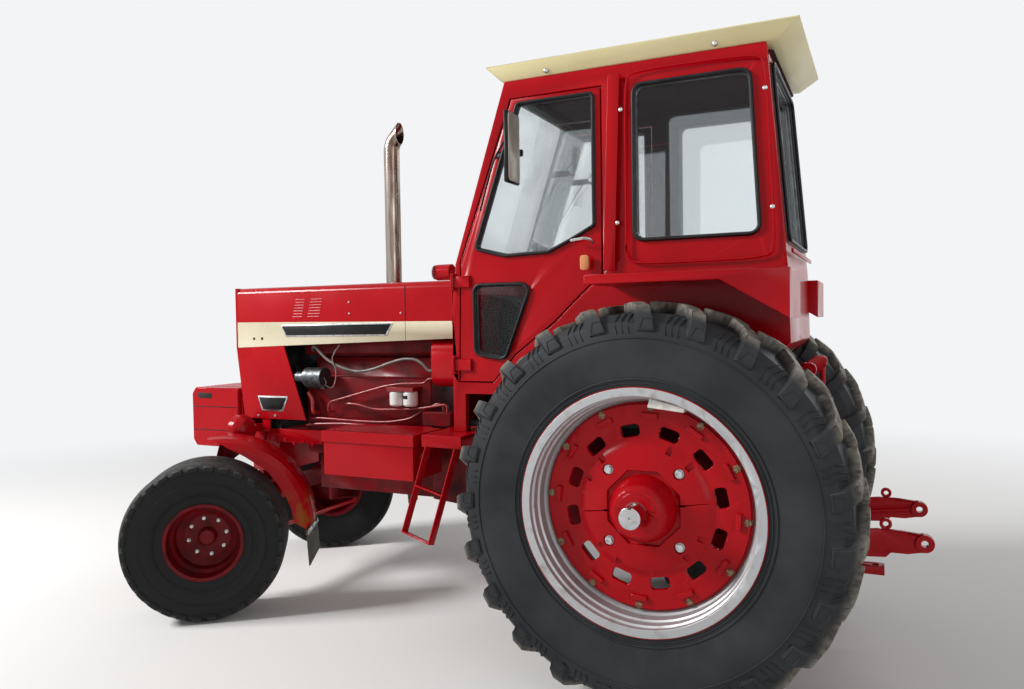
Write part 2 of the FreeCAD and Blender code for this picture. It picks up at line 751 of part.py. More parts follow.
knuckle_low = "beam_z-beam_tall/2-20-free_gap"
knuckle_top = "beam_z+beam_tall/2+20+free_gap"
knuckle = fuse(
    "knuckle",
    rod("kingpin", "z", (knuckle_low, knuckle_top), ("0", "0"), "kingpin_r"),
    rod("knuckle_block", "z", ("steer_arm_z-16", knuckle_low), ("0", "0"), "kingpin_boss_r"),
    rod("spindle_root", "y", ("0", "front_offset-126"), ("0", "front_tyre_r"), "kingpin_boss_r-4"),
    rod("spindle", "y", ("front_offset-127", "front_offset-31"), ("0", "front_tyre_r"), "spindle_r"),
    box("steer_arm", ("-steer_arm", "0"), ("-20", "20"), ("steer_arm_z-16", "steer_arm_z")),
    rod("steer_arm_eye", "z", ("steer_arm_z-16", "steer_arm_z"), ("-steer_arm", "0"), "24"),
    rod("steer_arm_pin", "z", ("steer_arm_z-56", "steer_arm_z"), ("-steer_arm", "0"), "9"),
    rod("knuckle_cap", "z", (knuckle_top, f"{knuckle_top}+24"), ("0", "0"), "kingpin_boss_r"),
    outline("fender_stay", "xz", [
        ("-25", f"{knuckle_top}+5"), ("25", f"{knuckle_top}+5"),
        *[guard_point(angle, "fender_steel+pin_play+4") for angle in (88, 95, 102, 110)], guard_point(110, 40),
        guard_point(98, 150),
    ], ("front_fender_in-18", "front_fender_in-6")),
    box("stay_foot", ("-28", "28"), ("-10", "front_fender_in-3"), (knuckle_top, f"{knuckle_top}+20")),
    common(
        "stay_strap",
        guard_ring("strap_ring", [
            ("front_fender_in-12", "fender_steel+pin_play"), ("front_fender_in+60", "fender_steel+pin_play"),
            ("front_fender_in+60", "fender_steel+pin_play+8"), ("front_fender_in-12", "fender_steel+pin_play+8"),
        ]),
        outline("strap_side", "xz", [
            guard_point(86, 60), guard_point(112, 60), guard_point(112, -40), guard_point(86, -40),
        ], guard_wide),
    ),
)
steered_pair("knuckle", knuckle)

# Front axle beam, with a bored boss at each end and a pivot boss in the middle

beam_low = "beam_z-beam_tall/2"
beam_high = "beam_z+beam_tall/2"
beam_solid = fuse(
    "beam_solid",
    box("beam_bar", ("wheelbase-beam_deep/2", "wheelbase+beam_deep/2"), ("-kingpin_half", "kingpin_half"),
        (beam_low, beam_high)),
    rod("beam_boss_left", "z", (f"{beam_low}-20", f"{beam_high}+20"), ("wheelbase", "kingpin_half"),
        "kingpin_boss_r"),
    rod("beam_boss_right", "z", (f"{beam_low}-20", f"{beam_high}+20"), ("wheelbase", "-kingpin_half"),
        "kingpin_boss_r"),
    rod("beam_pivot", "x", ("wheelbase-beam_deep/2-10", "wheelbase+beam_deep/2+10"), ("0", "beam_z+15"), "62"),
)
front_axle_beam = cut(
    "front_axle_beam", beam_solid,
    rod("king_bore_left", "z", (f"{beam_low}-30", f"{beam_high}+30"), ("wheelbase", "kingpin_half"),
        "kingpin_r+pin_play"),
    rod("king_bore_right", "z", (f"{beam_low}-30", f"{beam_high}+30"), ("wheelbase", "-kingpin_half"),
        "kingpin_r+pin_play"),
)
node("front_axle_beam", front_axle_beam)

tie_rod = cut(
    "tie_rod_bored",
    fuse(
        "tie_rod_solid",
        rod("tie_tube", "y", ("-2*kingpin_half", "0"), ("-steer_arm", "steer_arm_z-36"), "tie_rod_r"),
        rod("tie_eye_left", "z", ("steer_arm_z-52", "steer_arm_z-16-pin_play"), ("-steer_arm", "0"), "20"),
        rod("tie_eye_right", "z", ("steer_arm_z-52", "steer_arm_z-16-pin_play"),
            ("-steer_arm", "-2*kingpin_half"), "20"),
    ),
    rod("tie_bore_left", "z", ("steer_arm_z-60", "steer_arm_z"), ("-steer_arm", "0"), "9+pin_play"),
    rod("tie_bore_right", "z", ("steer_arm_z-60", "steer_arm_z"), ("-steer_arm", "-2*kingpin_half"),
        "9+pin_play"),
)
tie_placed = labelled("tie_rod", [tie_rod])
bind(tie_placed,
     Placement_Base_x="wheelbase-origin_ahead+steer_arm*(1-cos(steer_rest))",
     Placement_Base_y="kingpin_half-steer_arm*sin(steer_rest)")
nodes.append(tie_placed)

# Front frame: two side rails, the bolster between them and the plate that carries the weights

nose_bracket = fuse(
    "nose_bracket",
    box("bracket_foot", ("frame_rear", "frame_rear+60"), ("rail_out-10", "bonnet_half-bonnet_steel-pin_play"),
        ("rail_top-12", "rail_top")),
    box("bracket_tab", ("frame_rear", "frame_rear+60"),
        ("bonnet_half-bonnet_steel-pin_play-12", "bonnet_half-bonnet_steel-pin_play"),
        ("rail_top-12", "nose_low+60")),
)
front_frame = fuse(
    "front_frame",
    box("rail_left", ("rail_rear", "frame_front"), ("crankcase_half", "rail_out"), ("rail_low", "rail_top")),
    box("rail_right", ("rail_rear", "frame_front"), ("-rail_out", "-crankcase_half"), ("rail_low", "rail_top")),
    box("bolster", ("frame_rear", "frame_front"), ("-crankcase_half", "crankcase_half"),
        ("beam_z+150", "rail_top")),
    box("bolster_toe", ("wheelbase-beam_deep/2-50", "wheelbase+beam_deep/2+50"), ("-110", "110"),
        ("beam_z+150", "weights_low-10")),
    box("pivot_ear_rear", ("wheelbase-beam_deep/2-50", "wheelbase-beam_deep/2-10"), ("-80", "80"),
        ("beam_z-50", "beam_z+160")),
    box("pivot_ear_front", ("wheelbase+beam_deep/2+10", "wheelbase+beam_deep/2+50"), ("-80", "80"),
        ("beam_z-50", "beam_z+160")),
    box("weight_plate", ("frame_front", "frame_front+16"), ("-weights_half+30", "weights_half-30"),
        ("weights_low", "weights_top-60")),
    nose_bracket,
    mirror(nose_bracket),
)
node("front_frame", front_frame)

weights = []
for slot in range(int(SIZES["weight_count"])):
    pitch = "(2*weights_half+weight_gap)/weight_count"
    low = f"-weights_half+{slot}*{pitch}"
    weights.append(outline(f"weight_{slot}", "xz", [
        ("frame_front+16", "weights_low"), ("weights_front-30", "weights_low"),
        ("weights_front", "weights_low+40"), ("weights_front", "weights_top-40"),
        ("weights_front-30", "weights_top"), ("frame_front+16", "weights_top"),
    ], (low, f"{low}+{pitch}-weight_gap")))
node("front_weights", *weights)

# Engine: one plain block with its head, rocker cover and sump, and what shows on its left side

engine = fuse(
    "engine",
    box("crankcase", ("engine_rear", "engine_front"), ("-crankcase_half", "crankcase_half"),
        ("crankcase_low", "crankcase_top")),
    box("head", ("engine_rear+20", "engine_front-30"), ("-head_half", "head_half"),
        ("crankcase_top", "head_top")),
    box("rocker_cover", ("engine_rear+40", "engine_front-50"), ("-cover_half", "cover_half"),
        ("head_top", "cover_top")),
    box("sump", ("engine_rear+20", "engine_front-60"), ("-sump_half", "sump_half"),
        ("sump_low", "crankcase_low")),
)
node("engine_block", engine)

alternator_place = ("crankcase_half+alternator_out", "alternator_z")
alternator = fuse(
    "alternator",
    rod("alternator_body", "x", ("engine_front-195", "engine_front-60"), alternator_place, "alternator_r"),
    rod("alternator_nose", "x", ("engine_front-60", "engine_front-38"), alternator_place, "alternator_r-18"),
    rod("alternator_pulley", "x", ("engine_front-38", "engine_front+16"), alternator_place, "alternator_r-26"),
    box("alternator_foot", ("engine_front-180", "engine_front-105"), ("crankcase_half", "crankcase_half+alternator_out"),
        ("crankcase_top-68", "alternator_z-alternator_r+30")),
)
node("alternator", alternator)

filters = [
    spin(f"filter_{name}", "z", [
        ("filter_low", "0"), ("filter_low", "filter_r-8"), ("filter_low+10", "filter_r"),
        ("filter_top-8", "filter_r"), ("filter_top", "filter_r-6"), ("filter_top", "0"),
    ], (place, "crankcase_half+filter_out"))
    for name, place in (("rear", "engine_rear+filter_rear"), ("front", "engine_rear+filter_rear+filter_pitch"))
]
filter_head = box("filter_head",
                  ("engine_rear+filter_rear-filter_r", "engine_rear+filter_rear+filter_pitch+filter_r"),
                  ("crankcase_half", "crankcase_half+filter_out+filter_r+2"), ("filter_top", "filter_top+24"))
node("oil_filters", fuse("oil_filters", filter_head, *filters))

# Columns: name, radius, the corners of the run, and the level at which it ends on the tank, if it does.
# A corner is a share of the engine's length, a distance out from the crankcase's side and a level above
# the crankcase's lower edge.
PIPES = (
    ("return_pipe", "pipe_r", ((0.78, 0, 262), (0.78, 50, 262), (0.77, 50, 322), (0.635, 50, 353),
                               (0.255, 50, 441), (0.012, 50, 449)), 475),
    ("feed_pipe", "pipe_r", ((0.634, 0, 318), (0.634, 58, 318), (0.534, 60, 318), (0.39, 60, 289),
                             (0.077, 60, 300), (-0.157, 60, 335), (-0.157, 60, 290)), None),
    ("side_pipe", "pipe_r", ((0.955, 0, 217), (0.955, 32, 217), (0.847, 32, 221), (0.57, 32, 213),
                             (0.315, 32, 213), (0.131, 32, 241), (0.036, 32, 296), (-0.079, 32, 335),
                             (-0.112, 32, 320), (-0.112, 32, 290)), None),
    ("low_pipe", "pipe_r", ((0.978, 0, 177), (0.978, 50, 177), (0.897, 50, 185), (0.685, 50, 197),
                            (0.343, 50, 193), (0.343, 0, 193)), None),
    ("filler_tube", "filler_r", ((0.906, 0, 252), (0.906, 50, 252), (0.906, 50, 335), (0.938, 50, 379)), None),
    ("engine_hose", "hose_r", ((0.924, -98, 632), (0.924, 25, 632), (0.89, 48, 668), (0.79, 50, 584),
                               (0.675, 50, 535), (0.528, 50, 505), (0.394, 50, 526), (0.273, 50, 563),
                               (0.165, 50, 587), (0.071, 50, 585), (0.009, 50, 550)), 520),
)
engine_long = size("engine_front") - size("engine_rear")
runs = []
for name, radius, corners, tank_level in PIPES:
    route = [(size("engine_rear") + share * engine_long, size("crankcase_half") + out, size("crankcase_low") + up)
             for share, out, up in corners]
    if tank_level:
        route += [(size("tank_front") + ahead, route[-1][1], size("crankcase_low") + tank_level)
                  for ahead in (30, 0)]
    runs.append(tube(name, radius, route))
node("engine_pipes", *runs[:-1])
node("engine_hose", runs[-1])

manifold = fuse(
    "manifold",
    box("exhaust_log", ("engine_rear+80", "engine_front-120"), ("-head_half-75", "-head_half"),
        ("crankcase_top+30", "crankcase_top+105")),
    rod("manifold_riser", "z", ("crankcase_top+100", "cover_top+70"), ("exhaust_x", "-head_half-38"), "36"),
    box("manifold_cross", ("exhaust_x-45", "exhaust_x+45"), ("-head_half-80", "50"),
        ("cover_top+2", "cover_top+80")),
)
node("exhaust_manifold", manifold)

radiator = fuse(
    "radiator",
    box("radiator_core", ("frame_rear-60", "frame_rear+30"), ("-radiator_half", "radiator_half"),
        ("rail_top", "radiator_top")),
    box("radiator_tank", ("frame_rear-70", "frame_rear+40"), ("-radiator_half-10", "radiator_half+10"),
        ("radiator_top", "radiator_top+80")),
    box("fan_shroud", ("frame_rear-120", "frame_rear-60"), ("-radiator_half-5", "radiator_half+5"),
        ("rail_top+40", "radiator_top-60")),
)
node("radiator", radiator)

fan = fuse(
    "fan",
    rod("fan_hub", "x", ("engine_front", "engine_front+70"), ("0", "fan_z"), "60"),
    *[
        box(f"fan_blade_{number}", ("engine_front+40", "engine_front+46"), low_y, low_z)
        for number, (low_y, low_z) in enumerate((
            (("-38", "38"), ("fan_z", "fan_z+fan_r")), (("-38", "38"), ("fan_z-fan_r", "fan_z")),
            (("0", "fan_r"), ("fan_z-38", "fan_z+38")), (("-fan_r", "0"), ("fan_z-38", "fan_z+38")),
        ))
    ],
)
node("fan", fan)

tank = outline("tank", "yz", [
    ("-bonnet_half+14", "tank_low"), ("bonnet_half-14", "tank_low"),
    ("bonnet_half-14", "tank_top"), ("-bonnet_half+14", "tank_top"),
], ("cab_front+4", "tank_front"), "70")
tank_foot = box("tank_foot", ("cab_front+15", "case_step"), ("-150", "150"), ("case_top", "tank_low"))
node("fuel_tank", fuse("fuel_tank", tank, tank_foot))

# Exhaust: a straight pipe that leans back at the top and is cut off upright


def stack(name, radius):
    straight = rod(f"{name}_straight", "z", ("cover_top+80", "exhaust_bend_z"), ("exhaust_x", "0"), radius)
    elbow = doc.addObject("Part::Torus", f"{name}_elbow")
    elbow.Placement = Placement(Vector(), Rotation(Vector(1, 0, 0), 90))
    bind(elbow, Radius1="exhaust_bend_r", Radius2=radius, Angle3="exhaust_bend_deg")
    bind(elbow, Placement_Base_x="exhaust_x-exhaust_bend_r", Placement_Base_z="exhaust_bend_z")
    tip = doc.addObject("Part::Cylinder", f"{name}_tip")
    tip.Placement = Placement(Vector(), Rotation(Vector(0, -1, 0), SIZES["exhaust_bend_deg"]))
    bind(tip, Radius=radius, Height="240", Placement_Rotation_Angle="exhaust_bend_deg")
    bind(tip, Placement_Base_x="exhaust_x-exhaust_bend_r*(1-cos(exhaust_bend_deg))",
         Placement_Base_z="exhaust_bend_z+exhaust_bend_r*sin(exhaust_bend_deg)")
    return fuse(name, straight, elbow, tip)


stack_outer = stack("stack_outer", "exhaust_r")
stack_inner = stack("stack_inner", "exhaust_r-exhaust_wall")
slash = box("slash", ("exhaust_x-900", "exhaust_x-exhaust_slash"), ("-200", "200"), ("exhaust_bend_z-200", "3400"))
node("exhaust_pipe", cut("exhaust_pipe", stack_outer, stack_inner, slash))

# Bonnet: one pressed sheet, rounded along its top edges, lower at the front than at the rear

bonnet_outer = outline("bonnet_outer", "yz", [
    ("-bonnet_half", "1400"), ("bonnet_half", "1400"), ("bonnet_half", "bonnet_top"),
    ("-bonnet_half", "bonnet_top"),
], ("cab_front+2", "bonnet_front"), "bonnet_round")
bonnet_inner = outline("bonnet_inner", "yz", [
    ("-bonnet_half+bonnet_steel", "1300"), ("bonnet_half-bonnet_steel", "1300"),
    ("bonnet_half-bonnet_steel", "bonnet_top-bonnet_steel"),
    ("-bonnet_half+bonnet_steel", "bonnet_top-bonnet_steel"),
], ("cab_front-60", "bonnet_front+60"), "bonnet_round-bonnet_steel")
bonnet_below = outline("bonnet_below", "xz", [
    ("cab_front-80", "1200"), ("bonnet_front+80", "1200"), ("bonnet_front+80", "bonnet_low_front"),
    ("bonnet_front", "bonnet_low_front"), ("cab_front", "bonnet_low_rear"), ("cab_front-80", "bonnet_low_rear"),
], ("-bonnet_half-50", "bonnet_half+50"))
exhaust_hole = rod("exhaust_hole", "z", ("bonnet_top-90", "bonnet_top+90"), ("exhaust_x", "0"), "exhaust_r+6")
node("bonnet", cut("bonnet", bonnet_outer, bonnet_inner, bonnet_below, exhaust_hole))

band = outline("band", "xz", [
    ("cab_front+4", "bonnet_low_rear"), ("bonnet_front", "bonnet_low_front"),
    ("bonnet_front", "bonnet_low_front+159"), ("cab_front+4", "bonnet_low_rear+92"),
], ("bonnet_half", "bonnet_half+2"))
node("side_bands", band, mirror(band))

# Nose: side panels below the bonnet with a slanted rear edge, and the frame of the grille

bonnet_rise = "(bonnet_low_rear-bonnet_low_front)/(bonnet_front-cab_front)"
nose_outer = outline("nose_outer", "xz", [
    ("bonnet_front", "bonnet_low_front"), ("nose_low_front", "nose_low"), ("nose_low_rear", "nose_low"),
    ("nose_top_rear", f"bonnet_low_front+(bonnet_front-nose_top_rear)*{bonnet_rise}"),
], ("-bonnet_half", "bonnet_half"))
nose_inner = outline("nose_inner", "xz", [
    ("bonnet_front-6", "bonnet_low_front+40"), ("bonnet_front-60", "bonnet_low_front+40"),
    ("nose_low_front-60", "nose_low-20"), ("nose_low_rear-120", "nose_low-20"),
    ("nose_top_rear-120", "bonnet_low_front+40"),
], ("-bonnet_half+bonnet_steel", "bonnet_half-bonnet_steel"))
nose_panels = cut("nose_panels_solid", nose_outer, nose_inner)
grille_frame = outline("grille_frame", "xz", [
    ("bonnet_front", "bonnet_low_front"), ("nose_low_front", "nose_low"),
    ("nose_low_front+grille_deep", "nose_low"), ("bonnet_front+16", "bonnet_low_front"),
    ("bonnet_front+16", "bonnet_top"), ("bonnet_front", "bonnet_top"),
], ("-bonnet_half", "bonnet_half"))
grille_opening = box("grille_opening", ("nose_low_front-300", "bonnet_front+300"),
                     ("-grille_half", "grille_half"), ("grille_low", "grille_top"))
nose = fuse("nose", nose_panels, grille_frame)
nose_open = cut("nose_open", nose, grille_opening)
node("nose_panels", nose_open)

nose_lean = "(bonnet_front-nose_low_front)/(bonnet_low_front-nose_low)"
bars = []
for number in range(int(SIZES["grille_bars"])):
    level = f"(grille_low+({number}+0.5)*(grille_top-grille_low)/grille_bars)"
    face = f"bonnet_front-6-max(0; bonnet_low_front-{level})*{nose_lean}"
    bars.append(box(f"grille_bar_{number}", (f"{face}-30", face), ("-grille_half", "grille_half"),
                    (f"{level}-8", f"{level}+8")))
for name, low, high in (("left", "grille_half-20", "grille_half"), ("middle", "-10", "10"),
                        ("right", "-grille_half", "-grille_half+20")):
    bars.append(outline(f"grille_post_{name}", "xz", [
        ("bonnet_front-26", "grille_top"), ("bonnet_front-26", "bonnet_low_front"),
        (f"bonnet_front-26-(bonnet_low_front-grille_low)*{nose_lean}", "grille_low"),
        (f"bonnet_front-50-(bonnet_low_front-grille_low)*{nose_lean}", "grille_low"),
        ("bonnet_front-50", "bonnet_low_front"), ("bonnet_front-50", "grille_top"),
    ], (low, high)))
node("grille", fuse("grille", *bars))

# Lamps: a domed headlamp on a bar each side of the nose, and a work lamp on each front post of the cab

headlamp = fuse(
    "headlamp",
    spin("headlamp_bucket", "x", [
        ("frame_front-180", "0"), ("frame_front-174", "headlamp_r-56"), ("frame_front-152", "headlamp_r-24"),
        ("frame_front-116", "headlamp_r-4"), ("frame_front-68", "headlamp_r"), ("frame_front-64", "headlamp_r-6"),
        ("frame_front-64", "0"),
    ], ("headlamp_out", "headlamp_z")),
    box("headlamp_bar", ("frame_front-135", "frame_front-105"), ("rail_out", "headlamp_out-75"),
        ("rail_top-18", "rail_top+30")),
    box("headlamp_foot", ("frame_front-150", "frame_front-90"), ("rail_out", "rail_out+14"),
        ("rail_low+6", "rail_top+30")),
)
work_lamp = fuse(
    "work_lamp",
    rod("work_lamp_body", "x", ("cab_front+8", "cab_front+100"), ("cab_half-30", "work_lamp_z"), "42"),
    box("work_lamp_bracket", ("cab_front", "cab_front+8"), ("cab_half-50", "cab_half-10"),
        ("belt_front_z-310", "work_lamp_z")),
)
node("lamps", headlamp, mirror(headlamp), work_lamp, mirror(work_lamp))

# Gearcase: clutch housing, gearbox and rear axle centre in one, with a housing to each rear wheel

case_side = outline("case_side", "xz", [
    ("-case_rear", "case_low"), ("620", "case_low"), ("engine_rear", "case_low+80"),
    ("engine_rear", "case_top-60"), ("case_step", "case_top"), ("-case_rear", "case_top"),
], ("-case_half", "case_half"))
axle_housing = fuse(
    "axle_housing",
    rod("housing_cone", "y", ("case_half", "tube_end"), ("0", "rear_tyre_r"), "tube_root_r", "tube_r"),
    rod("housing_flange", "y", ("tube_end-40", "tube_end"), ("0", "rear_tyre_r"), "tube_r+28"),
    box("link_bracket", ("-link_front_back-45", "-link_front_back+45"), ("link_y-40", "link_y-22"),
        ("link_front_z-45", "rear_tyre_r-60")),
    rod("link_pin", "y", ("link_y-30", "link_y+24"), ("-link_front_back", "link_front_z"), "hitch_pin_r+2"),
)
axle_housing_bored = cut("axle_housing_bored", axle_housing, rod(
    "shaft_seat", "y", ("tube_end-shaft_seat", "tube_end+10"), ("0", "rear_tyre_r"), "axle_shaft_r+pin_play"))
node("rear_axle_housings", axle_housing_bored, mirror(axle_housing_bored))

rockshaft_block = box("rockshaft_block", ("-rockshaft_back-60", "-rockshaft_back+60"), ("-150", "150"),
                      ("case_top-40", "rockshaft_z+55"))
top_link_ears = [
    box(f"top_link_ear_{name}", ("-case_rear-90", "-case_rear+20"), (low, high), ("900", "1010"))
    for name, low, high in (("left", "28", "46"), ("right", "-46", "-28"))
]
pto = rod("pto", "x", ("-pto_end", "-case_rear+20"), ("0", "pto_z"), "pto_r")
pto_collar = rod("pto_collar", "x", ("-case_rear-25", "-case_rear+20"), ("0", "pto_z"), "60")
hydraulic_block = box("hydraulic_block", ("engine_rear-170", "engine_rear+15"),
                      ("case_half", "case_half+76"), ("case_top-36", "case_top+45"))
case_solid = fuse("case_solid", case_side, hydraulic_block, rockshaft_block, *top_link_ears, pto, pto_collar)
case_bores = [
    rod("rockshaft_bore", "y", ("-200", "200"), ("-rockshaft_back", "rockshaft_z"), "rockshaft_r+pin_play"),
    rod("top_link_hole", "y", ("-60", "60"), ("-case_rear-60", "955"), "12.85"),
]
node("transmission_case", cut("transmission_case", case_solid, *case_bores))

drawbar_low = "drawbar_z-drawbar_thick/2"
drawbar_high = "drawbar_z+drawbar_thick/2"
drawbar = cut(
    "drawbar",
    fuse(
        "drawbar_solid",
        box("drawbar_bar", ("-drawbar_end", "180"), ("-drawbar_half", "drawbar_half"),
            (drawbar_low, drawbar_high)),
        box("drawbar_hanger", ("-case_rear+10", "-case_rear+60"), ("-120", "120"),
            (drawbar_high, "case_low")),
        box("drawbar_seat", ("80", "180"), ("-70", "70"), (drawbar_high, "case_low")),
    ),
    rod("drawbar_hole", "z", ("drawbar_z-60", "drawbar_z+60"), ("-drawbar_end+40", "0"), "drawbar_hole_r"),
)
node("drawbar", drawbar)

# Hitch: rockshaft with its two lift arms, lift rods with a slotted foot, and lower links

arm_reach = "lift_end_back-rockshaft_back"
lift_arm = outline("lift_arm", "xz", [
    ("-rockshaft_back+20", "rockshaft_z-50"), ("-rockshaft_back+52", "rockshaft_z+10"),
    ("-rockshaft_back", "rockshaft_z+58"), ("-lift_end_back+26", "lift_end_z+30"),
    ("-lift_end_back-26", "lift_end_z+20"), ("-lift_end_back-26", "lift_end_z-24"),
    ("-rockshaft_back-40", "rockshaft_z-38"),
], ("link_y-link_thick/2", "link_y+link_thick/2"), "16")
lift_arm_pin = rod("lift_arm_pin", "y", ("link_y", "rod_y+16"), ("-lift_end_back", "lift_end_z"),
                   "hitch_pin_r")
rockshaft = rod("rockshaft", "y", ("-link_y", "link_y"), ("-rockshaft_back", "rockshaft_z"), "rockshaft_r")
node("lift_arms", fuse("lift_arms", rockshaft, lift_arm, mirror(lift_arm), lift_arm_pin, mirror(lift_arm_pin)))

rod_low = "rod_y-12"
rod_high = "rod_y+12"
lift_rod = cut(
    "lift_rod",
    fuse(
        "lift_rod_solid",
        rod("lift_rod_bar", "z", ("rod_foot_z+50", "lift_end_z-20"), ("-(lift_end_back+rod_foot_back)/2", "rod_y"),
            "13"),
        rod("lift_rod_screw", "z", ("rod_foot_z+260", "rod_foot_z+520"),
            ("-(lift_end_back+rod_foot_back)/2", "rod_y"), "22"),
        rod("lift_rod_eye", "y", (rod_low, rod_high), ("-lift_end_back", "lift_end_z"), "30"),
        box("lift_rod_foot", ("-rod_foot_back-36", "-rod_foot_back+36"), (rod_low, rod_high),
            ("rod_foot_z-56", "rod_foot_z+70")),
    ),
    rod("lift_eye_bore", "y", (f"{rod_low}-5", f"{rod_high}+5"), ("-lift_end_back", "lift_end_z"),
        "hitch_pin_r+pin_play"),
    box("lift_rod_slot", ("-rod_foot_back-20", "-rod_foot_back+20"), (f"{rod_low}-5", f"{rod_high}+5"),
        ("rod_foot_z-34", "rod_foot_z+34")),
)
node("lift_rods", lift_rod, mirror(lift_rod))

link_low = "link_y-link_thick/2"
link_high = "link_y+link_thick/2"
lower_link = cut(
    "lower_link",
    fuse(
        "lower_link_solid",
        outline("link_bar", "xz", [
            ("-link_front_back", "link_front_z-32"), ("-link_front_back", "link_front_z+32"),
            ("-ball_back+340", "ball_z+22"), ("-ball_back+185", "ball_z+47"), ("-ball_back+95", "ball_z+47"),
            ("-ball_back", "ball_z+ball_r"), ("-ball_back", "ball_z-ball_r"), ("-ball_back+65", "ball_z-52"),
            ("-ball_back+130", "ball_z-52"), ("-ball_back+150", "ball_z-74"), ("-ball_back+340", "ball_z-86"),
        ], (link_low, link_high)),
        rod("link_front_eye", "y", (link_low, link_high), ("-link_front_back", "link_front_z"), "38"),
        rod("link_ball_eye", "y", ("link_y-19", "link_y+19"), ("-ball_back", "ball_z"), "ball_r"),
        rod("link_lug", "y", (link_low, link_high), ("-ball_back+150", "ball_z+70"), "25"),
        rod("link_rod_pin", "y", ("link_y", "rod_y+18"), ("-rod_foot_back", "rod_foot_z"), "hitch_pin_r"),
    ),
    rod("link_front_bore", "y", ("link_y-30", "link_y+30"), ("-link_front_back", "link_front_z"),
        "hitch_pin_r+2+pin_play"),
    rod("link_ball_bore", "y", ("link_y-30", "link_y+30"), ("-ball_back", "ball_z"), "ball_hole_r"),
    rod("link_lug_bore", "y", ("link_y-30", "link_y+30"), ("-ball_back+150", "ball_z+70"), "11"),
)
node("lower_links", lower_link, mirror(lower_link))

# Cab frame: walls and posts in one welded shell, with the doorways and windows cut

cab_outer = outline("cab_outer", "xz", [
    ("cab_roof_front", "cab_top"), ("cab_front-25", "belt_front_z"), ("cab_front", "belt_front_z-250"),
    ("cab_front", "leg_low"), ("cab_front-75", "leg_low"), ("cab_front-75", "wall_low"),
    ("-280", "wall_low"), ("-cab_rear", "deck_rear_z"), ("-cab_rear+11", "belt_rear_z"),
    ("-cab_roof_rear", "cab_top"),
], ("-cab_half", "cab_half"))
cab_inner = outline("cab_inner", "xz", [
    ("cab_roof_front-cab_wall", "cab_top+10"), ("cab_front-25-cab_wall", "belt_front_z"),
    ("cab_front-cab_wall", "belt_front_z-250"), ("cab_front-cab_wall", "leg_low-50"),
    ("-cab_rear+cab_wall", "leg_low-50"), ("-cab_rear+cab_wall", "deck_rear_z"),
    ("-cab_rear+cab_wall+11", "belt_rear_z"), ("-cab_roof_rear+cab_wall", "cab_top+10"),
], ("-cab_half+cab_wall", "cab_half-cab_wall"))

# Columns: place along the machine, level, and which way the doorway's corner lies from it
DOOR = (
    ("door_head_front", "door_head", 1, 1),
    ("door_front-15", "door_knee", 1, 0),
    ("door_front", "door_sill", 1, -1),
    ("door_front-190", "door_sill", 0, -1),
    ("door_rear+465", "door_sill+141", -0.4, -1),
    ("door_rear+250", "door_sill+303", -0.6, -1),
    ("door_rear+100", "door_sill+444", -0.7, -0.9),
    ("door_rear", "door_sill+533", -1, -0.6),
    ("door_rear", "door_head", -1, 1),
)
doorway = outline("doorway", "xz", [
    (f"{x}+({forward})*door_gap", f"{z}+({upward})*door_gap") for x, z, forward, upward in DOOR
], ("-cab_half-50", "cab_half+50"))
WINDOW_HALF = ("-cab_half-50", "cab_half+50")
side_window = outline("side_window", "xz", [
    ("-window_rear", "window_low"), ("window_front", "window_low"), ("window_front", "window_head"),
    ("-window_rear+40", "window_head"),
], WINDOW_HALF, "corner")
windscreen = outline("windscreen", "yz", [
    ("-screen_half", "screen_low"), ("screen_half", "screen_low"), ("screen_half", "screen_head"),
    ("-screen_half", "screen_head"),
], ("cab_roof_front-100", "cab_front+60"), "corner")
rear_window = outline("rear_window", "yz", [
    ("-screen_half", "screen_low-20"), ("screen_half", "screen_low-20"), ("screen_half", "screen_head-10"),
    ("-screen_half", "screen_head-10"),
], ("-cab_rear-60", "-cab_roof_rear+80"), "corner")
hinge_ears = []
for number, level in enumerate(("hinge_low", "hinge_high")):
    for end, low, high in (("low", f"{level}-hinge_tall/2-14", f"{level}-hinge_tall/2"),
                           ("high", f"{level}+hinge_tall/2", f"{level}+hinge_tall/2+14")):
        hinge_ears.append(box(f"hinge_ear_{end}_{number}", ("hinge_x-10", "hinge_x+10"),
                              ("cab_half-1", "hinge_y+9"), (low, high)))
    hinge_ears.append(rod(f"hinge_pin_{number}", "z",
                          (f"{level}-hinge_tall/2-14", f"{level}+hinge_tall/2+14"),
                          ("hinge_x", "hinge_y"), "hinge_pin_r"))
leg_gap = box("leg_gap", ("cab_front-cab_wall-40", "cab_front+10"), ("-cab_half+110", "cab_half-110"),
              ("leg_low-10", "case_top"))
cab_shell = cut("cab_shell", cab_outer, cab_inner, doorway, side_window, windscreen, rear_window, leg_gap)
hinges = fuse("hinges", *hinge_ears)
node("cab_frame", fuse("cab_frame", cab_shell, hinges, mirror(hinges)))

# Cab glass: each fixed pane is the slice of its opening at the glass's depth in the wall

